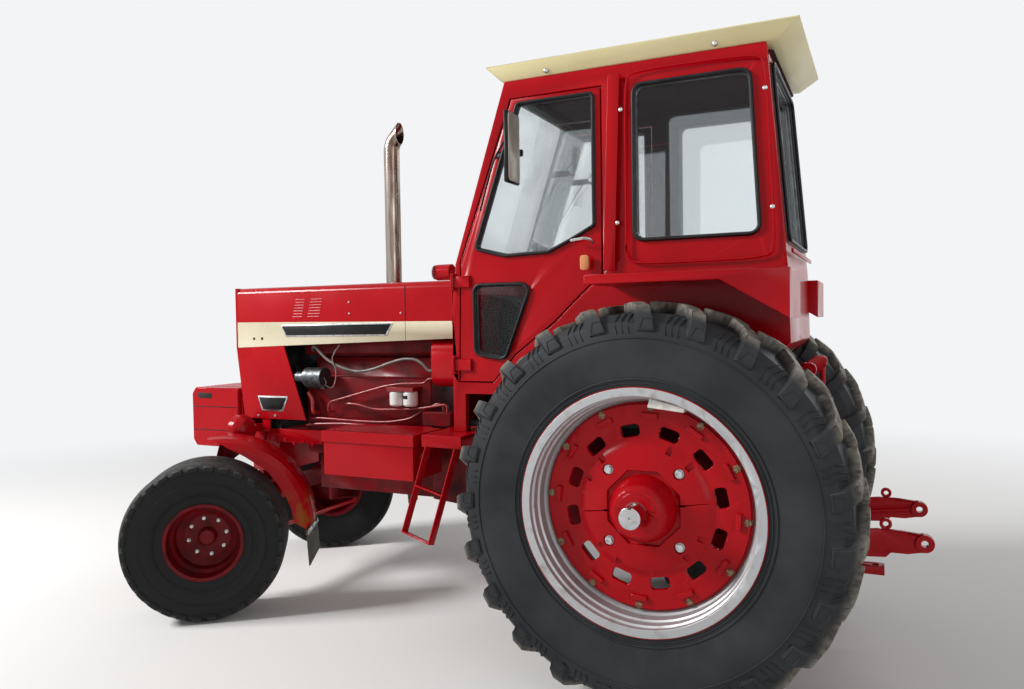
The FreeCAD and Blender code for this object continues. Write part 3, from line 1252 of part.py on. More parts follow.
side_pane = common("side_pane", side_window, box("side_slice", ("-cab_rear", "cab_front"),
                   ("cab_half-glass_depth-glass", "cab_half-glass_depth"), ("wall_low", "cab_top")))
front_pane = common("front_pane", windscreen, outline("front_slice", "xz", [
    ("cab_roof_front-glass_depth", "cab_top"), ("cab_front-25-glass_depth", "belt_front_z"),
    ("cab_front-25-glass_depth-glass", "belt_front_z"), ("cab_roof_front-glass_depth-glass", "cab_top"),
], ("-cab_half", "cab_half")))
rear_pane = common("rear_pane", rear_window, outline("rear_slice", "xz", [
    ("-cab_roof_rear+glass_depth", "cab_top"), ("-cab_rear+11+glass_depth", "belt_rear_z"),
    ("-cab_rear+11+glass_depth+glass", "belt_rear_z"), ("-cab_roof_rear+glass_depth+glass", "cab_top"),
], ("-cab_half", "cab_half")))
node("cab_glass", side_pane, mirror(side_pane), front_pane, rear_pane)

# Doors: a pressed leaf with its upper window and small lower window, hung on two strap hinges

leaf = outline("leaf", "xz", [(x, z) for x, z, forward, upward in DOOR],
               ("cab_half-door_steel", "cab_half"))
door_window = outline("door_window", "xz", [
    ("door_head_front-37", "door_head-25"), ("door_rear+34", "door_head-25"),
    ("door_rear+34", "door_knee+140"), ("door_rear+158", "door_knee+76"), ("door_rear+274", "door_knee+24"),
    ("door_rear+508", "door_knee+17"), ("door_front-105", "door_knee+58"),
], ("0", "cab_half+50"), "22")
lower_window = outline("lower_window", "xz", [
    ("door_front-91", "door_knee-124"), ("door_front-415", "door_knee-126"),
    ("door_front-265", "door_sill+116"), ("door_front-95", "door_sill+141"),
], ("0", "cab_half+50"), "40")
leaf_hinges = []
for number, level in enumerate(("hinge_low", "hinge_high")):
    span = (f"{level}-hinge_tall/2+pin_play", f"{level}+hinge_tall/2-pin_play")
    leaf_hinges.append(rod(f"leaf_barrel_{number}", "z", span, ("hinge_x", "hinge_y"), "hinge_barrel_r"))
    leaf_hinges.append(box(f"leaf_strap_{number}", ("door_front-70", "hinge_x"),
                           ("hinge_y-hinge_barrel_r", "hinge_y-3"), span))
    leaf_hinges.append(box(f"leaf_pad_{number}", ("door_front-70", "door_front-12"),
                           ("cab_half-1", "hinge_y-3"), span))
leaf_bores = [
    rod(f"leaf_bore_{number}", "z", (f"{level}-hinge_tall", f"{level}+hinge_tall"), ("hinge_x", "hinge_y"),
        "hinge_pin_r+pin_play")
    for number, level in enumerate(("hinge_low", "hinge_high"))
]
door = cut("door", fuse("door_solid", leaf, *leaf_hinges), door_window, lower_window, *leaf_bores)
pair("door", door)
door_slice = box("door_slice", ("door_rear", "cab_front"), ("cab_half-glass_depth-glass", "cab_half-glass_depth"),
                 ("wall_low", "cab_top"))
door_panes = together("door_panes", common("door_pane", door_window, door_slice),
                      common("lower_pane", lower_window, door_slice))
pair("door_glass", door_panes)

# Cab roof: a tray that widens upwards

roof = doc.addObject("Part::Wedge", "roof")
roof.Placement = Placement(Vector(), Rotation(Vector(1, 0, 0), 90))
bind(roof, Xmin="-cab_roof_rear-48", Xmax="cab_roof_front+11", Ymin="cab_top", Ymax="roof_top",
     Zmin="-cab_half", Zmax="cab_half", X2min="-cab_roof_rear-145", X2max="cab_roof_front+89",
     Z2min="-cab_half-roof_flare", Z2max="cab_half+roof_flare")
node("cab_roof", roof)

# Cab floor, the deck over the rear axle, and the two side platforms

floor = outline("floor", "xz", [
    ("cab_front-cab_wall", "floor_top-30"), ("cab_front-cab_wall", "floor_top"),
    ("120", "floor_top"), ("120", "deck_top"), ("-300", "deck_top"),
    ("-cab_rear+cab_wall", "deck_rear_z"), ("-cab_rear+cab_wall", "deck_rear_z-30"),
    ("-290", "deck_top-floor_steel"), ("100", "deck_top-floor_steel"), ("100", "floor_top-30"),
], ("-cab_half+cab_wall", "cab_half-cab_wall"))
node("cab_floor", floor)

# Rear mudguards: flat on top, with a wedge-shaped skirt at the rear

rear_fender = outline("rear_fender", "xz", [
    ("fender_front", "fender_top"), ("-fender_rear", "fender_top"), ("-fender_rear", "fender_skirt_z"),
    ("-320", "fender_top-fender_deep"), ("fender_front", "fender_top-fender_deep"),
], ("cab_half", "fender_out"))
node("rear_fenders", rear_fender, mirror(rear_fender))

# Ladders: two rails and two rungs that hang from each platform, turned and leaned outwards

platform = fuse(
    "platform",
    box("platform_plate", ("cab_front-135", "cab_front+95"), ("case_half", "platform_out"),
        ("platform_top-platform_steel", "platform_top")),
    box("platform_flange", ("cab_front-135", "cab_front+95"), ("platform_out-12", "platform_out"),
        ("platform_top-62", "platform_top")),
)
ladder = fuse(
    "ladder",
    box("ladder_rail_front", ("step_wide/2-8", "step_wide/2"), ("0", "step_bar"), ("-step_long", "0")),
    box("ladder_rail_rear", ("-step_wide/2", "-step_wide/2+8"), ("0", "step_bar"), ("-step_long", "0")),
    box("rung_low", ("-step_wide/2", "step_wide/2"), ("0", "step_bar"), ("-step_long", "-step_long+8")),
    box("rung_mid", ("-step_wide/2", "step_wide/2"), ("0", "step_bar"), ("-step_long/2", "-step_long/2+8")),
)
ladder_placed = together("ladder_placed", ladder)
ladder_placed.Placement = Placement(
    Vector(), Rotation(Vector(1, 0, 0), 12.4) * Rotation(Vector(0, 1, 0), -11.9) * Rotation(Vector(0, 0, 1), -15.5))
bind(ladder_placed, Placement_Base_x="cab_front-42", Placement_Base_y="platform_out-12",
     Placement_Base_z="platform_top-50")
entry = fuse("entry", platform, ladder_placed)
node("ladders", entry, mirror(entry))

# Tool boxes: open steel boxes on the engine's sides, each with a hinged lid

box_shell = cut(
    "box_shell",
    box("box_outer", ("box_rear", "box_front"), ("box_in", "box_out"), ("box_low", "box_top")),
    box("box_inner", ("box_rear+box_steel", "box_front-box_steel"),
        ("box_in+box_steel", "box_out-box_steel"), ("box_low+box_steel", "box_top+20")),
)


def along_box(share, step="0"):
    """A place on the tool box: a share of its length from the rear end, and a step ahead."""
    return f"box_rear+{share}*(box_front-box_rear)+({step})"


box_arms = [
    box(f"box_arm_{name}", (along_box(low), along_box(high)), ("crankcase_half", "box_in"),
        ("box_low+60", "box_top-40"))
    for name, low, high in (("rear", 0.25, 0.34), ("front", 0.66, 0.75))
]
lid_axis = ("box_in-9", "box_top+lid_gap")
box_ears = [
    box(f"box_ear_{name}", (low, high), ("box_in-18", "box_in+1"), ("box_top-30", "box_top+lid_gap+8"))
    for name, low, high in (("rear", along_box(0.1), along_box(0.1, "15")),
                            ("front", along_box(0.9, "-15"), along_box(0.9)))
]
lid_pin = rod("lid_pin", "x", (along_box(0.1), along_box(0.9)), lid_axis, "4")
tool_box = fuse("tool_box", box_shell, *box_arms, *box_ears, lid_pin)
node("tool_boxes", tool_box, mirror(tool_box))

lid_top = "box_top+lid_gap+6"
lid = cut(
    "lid",
    fuse(
        "lid_solid",
        cut("lid_tray",
            box("lid_outer", ("box_rear-lid_gap-box_steel", "box_front+lid_gap+box_steel"),
                ("box_in+4", "box_out+lid_gap+box_steel"), ("box_top-lid_lip+lid_gap", lid_top)),
            box("lid_inner", ("box_rear-lid_gap", "box_front+lid_gap"), ("box_in-20", "box_out+lid_gap"),
                ("box_top-lid_lip-20", "box_top+lid_gap"))),
        rod("lid_barrel", "x", (along_box(0.1, "15+pin_play"), along_box(0.9, "-15-pin_play")), lid_axis, "8"),
        box("lid_leaf", (along_box(0.1, "15+pin_play"), along_box(0.9, "-15-pin_play")), ("box_in-9", "box_in+6"),
            ("box_top+lid_gap", lid_top)),
    ),
    rod("lid_bore", "x", ("box_rear", "box_front"), lid_axis, "4+pin_play"),
)
pair("tool_box_lid", lid)

# Seat, steering column and wheel

seat = fuse(
    "seat",
    box("seat_base", ("-150", "70"), ("-120", "120"), ("deck_top", "deck_top+130")),
    outline("seat_cushion", "xz", [
        ("-230", "deck_top+130"), ("190", "deck_top+130"), ("230", "deck_top+190"), ("180", "deck_top+240"),
        ("-180", "deck_top+215"), ("-270", "deck_top+700"), ("-330", "deck_top+720"), ("-350", "deck_top+690"),
        ("-260", "deck_top+180"),
    ], ("-235", "235"), "18"),
)
node("seat", seat)

def column(down, across):
    """A place beside the steering shaft: down it from the wheel's centre, and across it."""
    return (f"wheel_x+{down}*sin(wheel_lean)+({across})*cos(wheel_lean)",
            f"wheel_z-{down}*cos(wheel_lean)+({across})*sin(wheel_lean)")


console = outline("console", "xz", [
    ("cab_front-cab_wall", "floor_top"), ("840", "floor_top"), column("column_long", "-25"),
    column("column_long", "100"), ("cab_front-cab_wall-40", "1800"), ("cab_front-cab_wall", "belt_front_z-250"),
], ("-200", "200"))
node("console", console)
wheel_ring = doc.addObject("Part::Torus", "wheel_ring")
bind(wheel_ring, Radius1="200", Radius2="13")
wheel_boss = doc.addObject("Part::Cylinder", "wheel_boss")
bind(wheel_boss, Radius="34", Height="60", Placement_Base_z="-45")
wheel_shaft = doc.addObject("Part::Cylinder", "wheel_shaft")
bind(wheel_shaft, Radius="18", Height="column_long-pin_play-30", Placement_Base_z="pin_play-column_long")
spokes = []
for number in range(3):
    spoke = doc.addObject("Part::Cylinder", f"wheel_spoke_{number}")
    turn = Rotation(Vector(0, 0, 1), 120 * number) * Rotation(Vector(0, 1, 0), 90)
    spoke.Placement = Placement(Vector(), turn)
    bind(spoke, Radius="8", Height="195")
    spokes.append(spoke)
wheel = fuse("wheel", wheel_ring, wheel_boss, wheel_shaft, *spokes)
wheel_placed = together("wheel_placed", wheel)
wheel_placed.Placement = Placement(Vector(), Rotation(Vector(0, -1, 0), SIZES["wheel_lean"]))
bind(wheel_placed, Placement_Rotation_Angle="wheel_lean", Placement_Base_x="wheel_x", Placement_Base_z="wheel_z")
node("steering_wheel", wheel_placed)

# Mirrors: a tall glass on a bent arm at the front edge of each door

mirror_unit = fuse(
    "mirror_unit",
    box("mirror_head", ("690", "712"), ("560", "700"), ("2310", "2650")),
    box("mirror_arm", ("712", "722"), ("cab_half", "640"), ("2480", "2494")),
    box("mirror_foot", ("712", "860"), ("cab_half", "cab_half+8"), ("2470", "2504")),
)
pair("mirror", mirror_unit)

doc.recompute()
for piece in doc.Objects:
    if "Invalid" in piece.State or "Error" in piece.State:
        raise RuntimeError(f"{piece.Name} failed: {piece.State}")
for piece in nodes:
    if piece.Shape.isNull() or not piece.Shape.isValid() or not piece.Shape.Solids:
        raise RuntimeError(f"{piece.Label} has no sound shape")
for piece in nodes:
    piece.Shape.exportStep(f"parts/{piece.Label}.step")
whole = Part.Compound([piece.Shape for piece in nodes]).BoundBox
print(len(nodes), "nodes,", f"x {whole.XMin:.2f} {whole.XMax:.2f}",
      f"y {whole.YMin:.2f} {whole.YMax:.2f}", f"z {whole.ZMin:.2f} {whole.ZMax:.2f}")
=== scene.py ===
"""The look of a red farm tractor with a glazed cab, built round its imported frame. Metres, +X ahead, +Z up."""
import json
import math

import bpy
from mathutils import Matrix, Vector


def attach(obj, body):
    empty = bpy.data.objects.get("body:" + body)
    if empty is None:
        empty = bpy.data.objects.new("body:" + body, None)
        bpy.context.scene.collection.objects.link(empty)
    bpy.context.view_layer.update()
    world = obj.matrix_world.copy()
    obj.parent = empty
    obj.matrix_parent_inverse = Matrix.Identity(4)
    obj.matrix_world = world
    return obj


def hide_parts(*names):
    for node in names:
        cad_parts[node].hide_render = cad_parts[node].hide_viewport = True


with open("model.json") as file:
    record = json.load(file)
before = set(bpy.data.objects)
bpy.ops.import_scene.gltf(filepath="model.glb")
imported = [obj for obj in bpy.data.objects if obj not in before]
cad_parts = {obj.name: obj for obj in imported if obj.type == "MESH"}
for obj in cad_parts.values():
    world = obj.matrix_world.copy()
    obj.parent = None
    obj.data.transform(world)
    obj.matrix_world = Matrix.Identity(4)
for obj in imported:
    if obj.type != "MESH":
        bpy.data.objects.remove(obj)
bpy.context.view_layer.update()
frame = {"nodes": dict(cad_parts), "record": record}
nodes = frame["nodes"]
body_of = {node: body for body, members in frame["record"]["behaviour"]["bodies"].items() for node in members}
scene = bpy.context.scene
scene.view_settings.view_transform = "Standard"

# Studio: a pale matt floor that keeps the shadow near the tractor and fades into the backdrop, under three
# soft lamps. The camera stands at eye level, well out to the left and a little behind the rear axle.

FLOOR_SIDE = 90.0
EYE = (-2.0343, 4.1064, 1.6556)
YAW, PITCH, ROLL = 25.28, -1.71, -0.895
LENS_MM = 28.05


def linear(code):
    """A colour written as an sRGB hex code, in the linear values that the shader takes."""
    parts = [int(code[i:i + 2], 16) / 255 for i in (0, 2, 4)]
    return (*[c / 12.92 if c <= 0.04045 else ((c + 0.055) / 1.055) ** 2.4 for c in parts], 1.0)


def add(tree, kind, settings=None, links=None):
    """A node with its settings and incoming links: text of six is a colour, a ramp is rows of place and colour."""
    made = tree.nodes.new("ShaderNode" + kind)
    for name, value in (settings or {}).items():
        if name == "ramp":
            knots = made.color_ramp.elements
            knots[0].position, knots[0].color = value[0][0], linear(value[0][1])
            knots[1].position, knots[1].color = value[-1][0], linear(value[-1][1])
            for place, colour in value[1:-1]:
                knots.new(place).color = linear(colour)
        elif isinstance(name, str) and hasattr(made, name):
            setattr(made, name, value)
        else:
            made.inputs[name].default_value = linear(value) if isinstance(value, str) else value
    for name, source in (links or {}).items():
        tree.links.new(source.outputs[0] if isinstance(source, bpy.types.Node) else source, made.inputs[name])
    return made


def new_material(name):
    """An empty material, its node tree and the object's own coordinates in metres."""
    made = bpy.data.materials.new(name)
    made.use_nodes = True
    made.node_tree.nodes.clear()
    return made, made.node_tree, add(made.node_tree, "TexCoord").outputs["Object"]


def finish_surface(tree, settings, links):
    """The shader that a material ends in, with its constants on its own sockets."""
    shader = add(tree, "BsdfPrincipled", settings, links)
    add(tree, "OutputMaterial", links={"Surface": shader})


floor_paint, tree, place = new_material("matt_floor_paint")
reach = add(tree, "VectorMath", {"operation": "LENGTH"}, {0: place}).outputs["Value"]
far_off = add(tree, "MapRange", {"interpolation_type": "SMOOTHSTEP", "From Min": 3.5, "From Max": 9.5},
              {"Value": reach})
matt = add(tree, "BsdfPrincipled", {"Base Color": "E6E5E3", "Roughness": 0.9, "Specular IOR Level": 0.1})
glow = add(tree, "Emission", {"Color": "F3F4F6"})
add(tree, "OutputMaterial", links={"Surface": add(tree, "MixShader", links={0: far_off, 1: matt, 2: glow})})

bpy.ops.object.select_all(action="DESELECT")
bpy.ops.mesh.primitive_plane_add(size=FLOOR_SIDE, location=(0, 0, 0))
floor = bpy.context.object
floor.name = "studio_floor"
floor.data.materials.append(floor_paint)

world = bpy.data.worlds.new("studio_light")
scene.world = world
world.use_nodes = True
tree = world.node_tree
tree.nodes.clear()
path = add(tree, "LightPath")
seen = path.outputs["Is Camera Ray"]
for kind in ("Is Glossy Ray", "Is Transmission Ray"):
    seen = add(tree, "Math", {"operation": "MAXIMUM"}, {0: seen, 1: path.outputs[kind]})
level = add(tree, "MapRange", {"To Min": 0.30, "To Max": 1.0}, {"Value": seen})
sky = add(tree, "Background", {"Color": "F3F4F6"}, {"Strength": level})
add(tree, "OutputWorld", links={"Surface": sky})

# Columns: name, place, point it looks at, side in metres, watts
for name, place, target, side, watts in (
    ("key_lamp", (7.6, 5.4, 6.6), (-0.3, 0.5, 0.8), 2.4, 1250),
    ("fill_lamp", (-7.0, 6.0, 3.2), (-0.6, 0.5, 1.0), 5.0, 130),
    ("rim_lamp", (-3.5, -7.5, 6.5), (0.0, 0.0, 1.4), 4.5, 260),
):
    lamp = bpy.data.objects.new(name, bpy.data.lights.new(name, "AREA"))
    lamp.data.size = side
    lamp.data.energy = watts
    lamp.location = place
    lamp.rotation_euler = (Vector(target) - Vector(place)).to_track_quat("-Z", "Y").to_euler()
    scene.collection.objects.link(lamp)

camera = bpy.data.objects.new("camera", bpy.data.cameras.new("camera"))
camera.data.lens = LENS_MM
camera.data.sensor_width = 36.0
camera.data.sensor_fit = "HORIZONTAL"
ahead = Vector((math.sin(math.radians(YAW)) * math.cos(math.radians(PITCH)),
                -math.cos(math.radians(YAW)) * math.cos(math.radians(PITCH)), math.sin(math.radians(PITCH))))
camera.rotation_euler = (ahead.to_track_quat("-Z", "Y").to_matrix()
                         @ Matrix.Rotation(math.radians(ROLL), 3, "Z")).to_euler()
camera.location = EYE
scene.collection.objects.link(camera)
scene.camera = camera

# Gearcase, engine block, manifold, front axle and rear axle housings: rough iron castings under red enamel, dulled
# by an oily film. Their dark maroon with near-black clouds is painted shade. They are bolted into one backbone
# that carries everything else.

shade_darkened_red, tree, place = new_material("shade_darkened_red_casting")
film_and_shade = add(tree, "TexNoise", {"Scale": 1000 / 110, "Detail": 6.0}, {"Vector": place})
tone = add(tree, "ValToRGB", {"ramp": ((0.3, "74060F"), (0.55, "60060D"), (0.8, "2A0B0D"))}, {"Fac": film_and_shade})
rough = add(tree, "MapRange", {"From Min": 0.3, "From Max": 0.7, "To Min": 0.28, "To Max": 0.6}, {"Value": film_and_shade})
sand = add(tree, "TexNoise", {"Scale": 1000 / 8, "Detail": 4.0}, {"Vector": place})
skin = add(tree, "Bump", {"Strength": 0.3, "Distance": 0.0008}, {"Height": sand})
# Painted shade: the dark maroon and its near-black clouds stand for shade. The cloudy film breaks up the gloss,
# and the sand-cast skin shows as fine pits
finish_surface(tree, {"Specular IOR Level": 0.18}, {"Base Color": tone, "Roughness": rough, "Normal": skin})


def alone(piece):
    """That piece selected by itself, for the operators that act on what is selected."""
    bpy.ops.object.select_all(action="DESELECT")
    piece.select_set(True)
    bpy.context.view_layer.objects.active = piece
    return piece


def soften(piece, width, segments=2, sharp=30):
    """Edges sharper than that angle rounded off, and the rest shaded smooth."""
    alone(piece)
    if width:
        edge = piece.modifiers.new("edge", "BEVEL")
        edge.width = width
        edge.segments = segments
        edge.limit_method = "ANGLE"
        edge.angle_limit = math.radians(sharp)
        edge.use_clamp_overlap = False
        edge.harden_normals = True
        bpy.ops.object.modifier_apply(modifier="edge")
    bpy.ops.object.shade_smooth_by_angle(angle=math.radians(sharp))
    return piece


def copy_of(node):
    """A CAD node's own shape as a new piece, with its doubles merged and its flats made whole."""
    piece = bpy.data.objects.new(node + "_finished", nodes[node].data.copy())
    scene.collection.objects.link(piece)
    alone(piece)
    bpy.ops.object.mode_set(mode="EDIT")
    bpy.ops.mesh.select_all(action="SELECT")
    bpy.ops.mesh.remove_doubles(threshold=0.00003)
    bpy.ops.mesh.dissolve_limited(angle_limit=math.radians(0.4))
    bpy.ops.object.mode_set(mode="OBJECT")
    if piece.data.has_custom_normals:
        bpy.ops.mesh.customdata_custom_splitnormals_clear()
    return piece


def mount(piece, finish, body):
    """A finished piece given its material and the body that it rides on."""
    piece.data.materials.clear()
    piece.data.materials.append(finish)
    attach(piece, body)
    return piece


def stand_for(node, piece, finish):
    """A piece made from a CAD node's shape takes that node's place."""
    mount(piece, finish, body_of[node])
    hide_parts(node)
    nodes[node].data.materials.clear()
    nodes[node].data.materials.append(finish)
    return piece


def refinish(node, width, finish, segments=2, sharp=30):
    """A node's own shape with its edges rounded, in its place."""
    return stand_for(node, soften(copy_of(node), width, segments, sharp), finish)


# Columns: node, how far its edges are rounded
for node, width in (("transmission_case", 0.008), ("engine_block", 0.006), ("exhaust_manifold", 0.006),
                    ("front_axle_beam", 0.004), ("rear_axle_housings", 0.005),
                    ("knuckle_left", 0.002), ("knuckle_right", 0.002)):
    refinish(node, width, shade_darkened_red)

# Frame rails, front weights, tool boxes, fuel tank, ladders, hitch and tie rod: steel plate and castings
# under glossy red enamel, brushed on thick.

body_red, tree, place = new_material("glossy_red_enamel")
coat = add(tree, "TexNoise", {"Scale": 1000 / 420, "Detail": 3.0}, {"Vector": place})
tone = add(tree, "ValToRGB", {"ramp": ((0.35, "9E0410"), (0.72, "AC0813"))}, {"Fac": coat})
rough = add(tree, "MapRange", {"From Min": 0.3, "From Max": 0.7, "To Min": 0.16, "To Max": 0.28}, {"Value": coat})
brushed = add(tree, "TexNoise", {"Scale": 1000 / 45, "Detail": 1.0}, {"Vector": place})
wave = add(tree, "Bump", {"Strength": 0.06, "Distance": 0.001}, {"Height": brushed})
# Slow fading and a slight waviness keep the reflections from being mirror-straight
finish_surface(tree, {"Specular IOR Level": 0.16}, {"Base Color": tone, "Roughness": rough, "Normal": wave})

# Columns: node, how far its edges are rounded
for node, width in (("front_frame", 0.002), ("front_weights", 0.008), ("tool_boxes", 0.0012), ("fuel_tank", 0.012),
                    ("ladders", 0.0015), ("drawbar", 0.003), ("lift_arms", 0.004), ("lift_rods", 0.002),
                    ("lower_links", 0.003), ("tie_rod", 0.001), ("tool_box_lid_left", 0.002),
                    ("tool_box_lid_right", 0.002), ("lamps", 0.003), ("rear_fenders", 0.004)):
    refinish(node, width, body_red)

# Bolts and nuts: hexagon heads pressed in zinc-plated steel, on the rails, boxes and bonnet. Those on the rails
# were painted over with the frame.

zinc, tree, place = new_material("zinc_plated_steel")
bloom = add(tree, "TexNoise", {"Scale": 1000 / 14, "Detail": 4.0}, {"Vector": place})
tone = add(tree, "ValToRGB", {"ramp": ((0.45, "C9CBCC"), (0.75, "8E8B82"))}, {"Fac": bloom})
rough = add(tree, "MapRange", {"To Min": 0.2, "To Max": 0.5}, {"Value": bloom})
# Dull blooms on a bright plate
finish_surface(tree, {"Metallic": 1.0}, {"Base Color": tone, "Roughness": rough})


def settle(piece, name):
    """The object back at the origin, with its place in its mesh."""
    alone(piece)
    bpy.ops.object.transform_apply(location=True, rotation=True, scale=True)
    piece.name = name
    return piece


def solid(adder, name, stretch=(1.0, 1.0, 1.0), **shape):
    """A primitive at its size and place, with nothing else selected, for further shaping."""
    bpy.ops.object.select_all(action="DESELECT")
    adder(**shape)
    bpy.context.object.scale = stretch
    return settle(bpy.context.object, name)


def join(pieces, name):
    """Several pieces made one."""
    alone(pieces[0])
    for piece in pieces[1:]:
        piece.select_set(True)
    if len(pieces) > 1:
        bpy.ops.object.join()
    pieces[0].name = name
    return pieces[0]


def twin(piece, name, move):
    """A copy of a piece with a mesh of its own, moved; a mirrored one is turned right side out."""
    other = piece.copy()
    other.data = piece.data.copy()
    other.name = name
    scene.collection.objects.link(other)
    other.data.transform(move)
    if move.determinant() < 0:
        other.data.flip_normals()
    return other


MIRROR = Matrix.Scale(-1.0, 4, Vector((0.0, 1.0, 0.0)))
TURN = {"-x": (0, -90, 0), "y": (-90, 0, 0)}


def hex_head(name, place, facing, across, tall, washer):
    """A hexagon head with softened corners on its round washer, standing on a face that looks that way."""
    turn = [math.radians(angle) for angle in TURN[facing]]
    sign = -1.0 if facing.startswith("-") else 1.0
    out = Vector([sign * (axis == facing[-1]) for axis in "xyz"])
    head = solid(bpy.ops.mesh.primitive_cylinder_add, name, vertices=6, depth=tall, rotation=turn,
                 radius=across / 2 / math.cos(math.radians(30)), location=Vector(place) + out * (tall / 2 + 0.002))
    disc = solid(bpy.ops.mesh.primitive_cylinder_add, name, vertices=20, depth=0.003, rotation=turn,
                 radius=washer / 2, location=Vector(place) + out * 0.0015)
    return join([soften(head, tall * 0.12, 1), soften(disc, 0.0008, 1)], name)


def both_sides(piece, name, finish, body="chassis"):
    """A piece of the left side and its mirrored twin, on the chassis or on a pair of bodies."""
    bodies = (body, body) if body == "chassis" else (body + "_left", body + "_right")
    mount(piece, finish, bodies[0])
    mount(twin(piece, name + "_right", MIRROR), finish, bodies[1])
    piece.name = name + "_left"
    return piece


RAIL_SIDE = 0.2717
rail_bolts = [hex_head("rail_bolt", (x, RAIL_SIDE, z), "y", 0.019, 0.010, 0.026)
              for x, z in ((1.46, 0.945), (1.40, 0.925), (1.33, 0.945), (1.26, 0.925), (1.19, 0.945), (1.12, 0.925))]
both_sides(join(rail_bolts, "rail_bolts"), "rail_bolts", body_red)
latch = hex_head("box_latch", (0.193, 0.49, 0.945), "-x", 0.034, 0.014, 0.052)
both_sides(latch, "box_latch", zinc)

# Front weights: iron plates stacked side by side, with a handle slot near the top and two dark joint lines in
# the outer plate's side.

shadow_black, tree, place = new_material("shaded_recess_paint")
soot = add(tree, "TexNoise", {"Scale": 1000 / 30, "Detail": 4.0}, {"Vector": place})
tone = add(tree, "ValToRGB", {"ramp": ((0.4, "0C0506"), (0.7, "1A0B0C"))}, {"Fac": soot})
# Painted shade: near-black stands for the shade in a deep slot or hole, and also draws dark joint lines
finish_surface(tree, {"Roughness": 0.8}, {"Base Color": tone})


def plate(name, corners, thick, rounding, facing="y"):
    """A flat plate with that outline, given in metres, and its edges rounded."""
    mesh = bpy.data.meshes.new(name)
    mesh.from_pydata([tuple(corner) for corner in corners], [], [tuple(range(len(corners)))])
    piece = bpy.data.objects.new(name, mesh)
    scene.collection.objects.link(piece)
    alone(piece)
    bpy.ops.object.mode_set(mode="EDIT")
    bpy.ops.mesh.select_all(action="SELECT")
    if rounding:
        bpy.ops.mesh.bevel(offset=rounding, segments=5, affect="VERTICES")
        bpy.ops.mesh.select_all(action="SELECT")
    move = {"y": (0, thick, 0), "x": (thick, 0, 0), "z": (0, 0, thick)}[facing]
    bpy.ops.mesh.extrude_region_move(TRANSFORM_OT_translate={"value": move})
    bpy.ops.mesh.select_all(action="SELECT")
    bpy.ops.mesh.normals_make_consistent(inside=False)
    bpy.ops.object.mode_set(mode="OBJECT")
    return soften(piece, min(0.0015, abs(thick) * 0.3), 2, 40)


# The handle slot is a near-black plate on the surface: painted shade
handle = plate("weight_handle", [(x, 0.2998, z) for x, z in (
    (2.03, 1.222), (1.90, 1.220), (1.91, 1.186), (2.02, 1.186))], 0.0012, 0.008)
both_sides(handle, "weight_handle", shadow_black)
seams = [plate("weight_seam", [(x, 0.2995, z) for x, z in (
    (2.07, top), (1.70, top), (1.70, top - 0.005), (2.07, top - 0.005))], 0.0018, 0) for top in (1.135, 0.985)]
both_sides(join(seams, "weight_seams"), "weight_seams", shadow_black)

# Rear tyres: moulded rubber with 23 bias lugs a side. The lugs' tops are scuffed pale with dust, the sides
# stay dark grey, and fine rings, drain ribs and a framed pocket on each lug's end are moulded in.

REAR_AXLE = Vector((-1.10703, 0.0, 0.865))
REAR_TRACK = 0.768
LUGS = 23
GAP_DEEPER = 0.012


def tyre_rubber(name, centre, turn, dusty, rubber, dust):
    """Tyre rubber whose dust grows with the distance from that wheel's axle, between two radii."""
    made, tree, place = new_material(name)
    shift = -(Matrix.Rotation(math.radians(-turn), 4, "Z") @ Vector(centre))
    local = add(tree, "Mapping", {"Location": shift, "Rotation": (0.0, 0.0, math.radians(-turn))}, {"Vector": place})
    flat = add(tree, "VectorMath", {"operation": "MULTIPLY", 1: (1.0, 0.0, 1.0)}, {0: local})
    reach = add(tree, "VectorMath", {"operation": "LENGTH"}, {0: flat}).outputs["Value"]
    outer = add(tree, "MapRange", {"interpolation_type": "SMOOTHSTEP", "From Min": dusty[0], "From Max": dusty[1]},
                {"Value": reach})
    patch = add(tree, "TexNoise", {"Scale": 1000 / 30, "Detail": 6.0}, {"Vector": place})
    worn = add(tree, "MapRange", {"From Min": 0.35, "From Max": 0.62, "To Min": 0.3}, {"Value": patch})
    amount = add(tree, "Math", {"operation": "MULTIPLY"}, {0: outer, 1: worn})
    cloud = add(tree, "TexNoise", {"Scale": 1000 / 260, "Detail": 3.0}, {"Vector": place})
    side = add(tree, "ValToRGB", {"ramp": ((0.35, rubber[0]), (0.68, rubber[1]))}, {"Fac": cloud})
    tone = add(tree, "Mix", {"data_type": "RGBA", 7: dust}, {0: amount, 6: side})
    rough = add(tree, "MapRange", {"To Min": 0.5, "To Max": 0.72}, {"Value": cloud})
    grit = add(tree, "TexNoise", {"Scale": 1000 / 4, "Detail": 3.0}, {"Vector": place})
    skin = add(tree, "Bump", {"Strength": 0.14, "Distance": 0.0006}, {"Height": grit})
    finish_surface(tree, {"Specular IOR Level": 0.22},
                   {"Base Color": tone.outputs[2], "Roughness": rough, "Normal": skin})
    return made


def about_axle(degrees, centre):
    """A turn about a wheel's axle."""
    return Matrix.Translation(centre) @ Matrix.Rotation(math.radians(degrees), 4, "Y") @ Matrix.Translation(-centre)


def ring_of(piece, count, centre, start=0.0):
    """A piece repeated at equal turns about an axle, as one."""
    piece.data.transform(about_axle(start, centre))
    copies = [twin(piece, "copy", about_axle(360.0 * number / count, centre)) for number in range(1, count)]
    return join([piece] + copies, piece.name)


def fine_ring(name, centre, radius, thick, steps, sides, turn=(math.radians(90), 0, 0)):
    """A fine round ring, such as one moulded on a tyre's side."""
    return soften(solid(bpy.ops.mesh.primitive_torus_add, name, major_radius=radius, minor_radius=thick,
                        major_segments=steps, minor_segments=sides, location=centre, rotation=turn), 0)


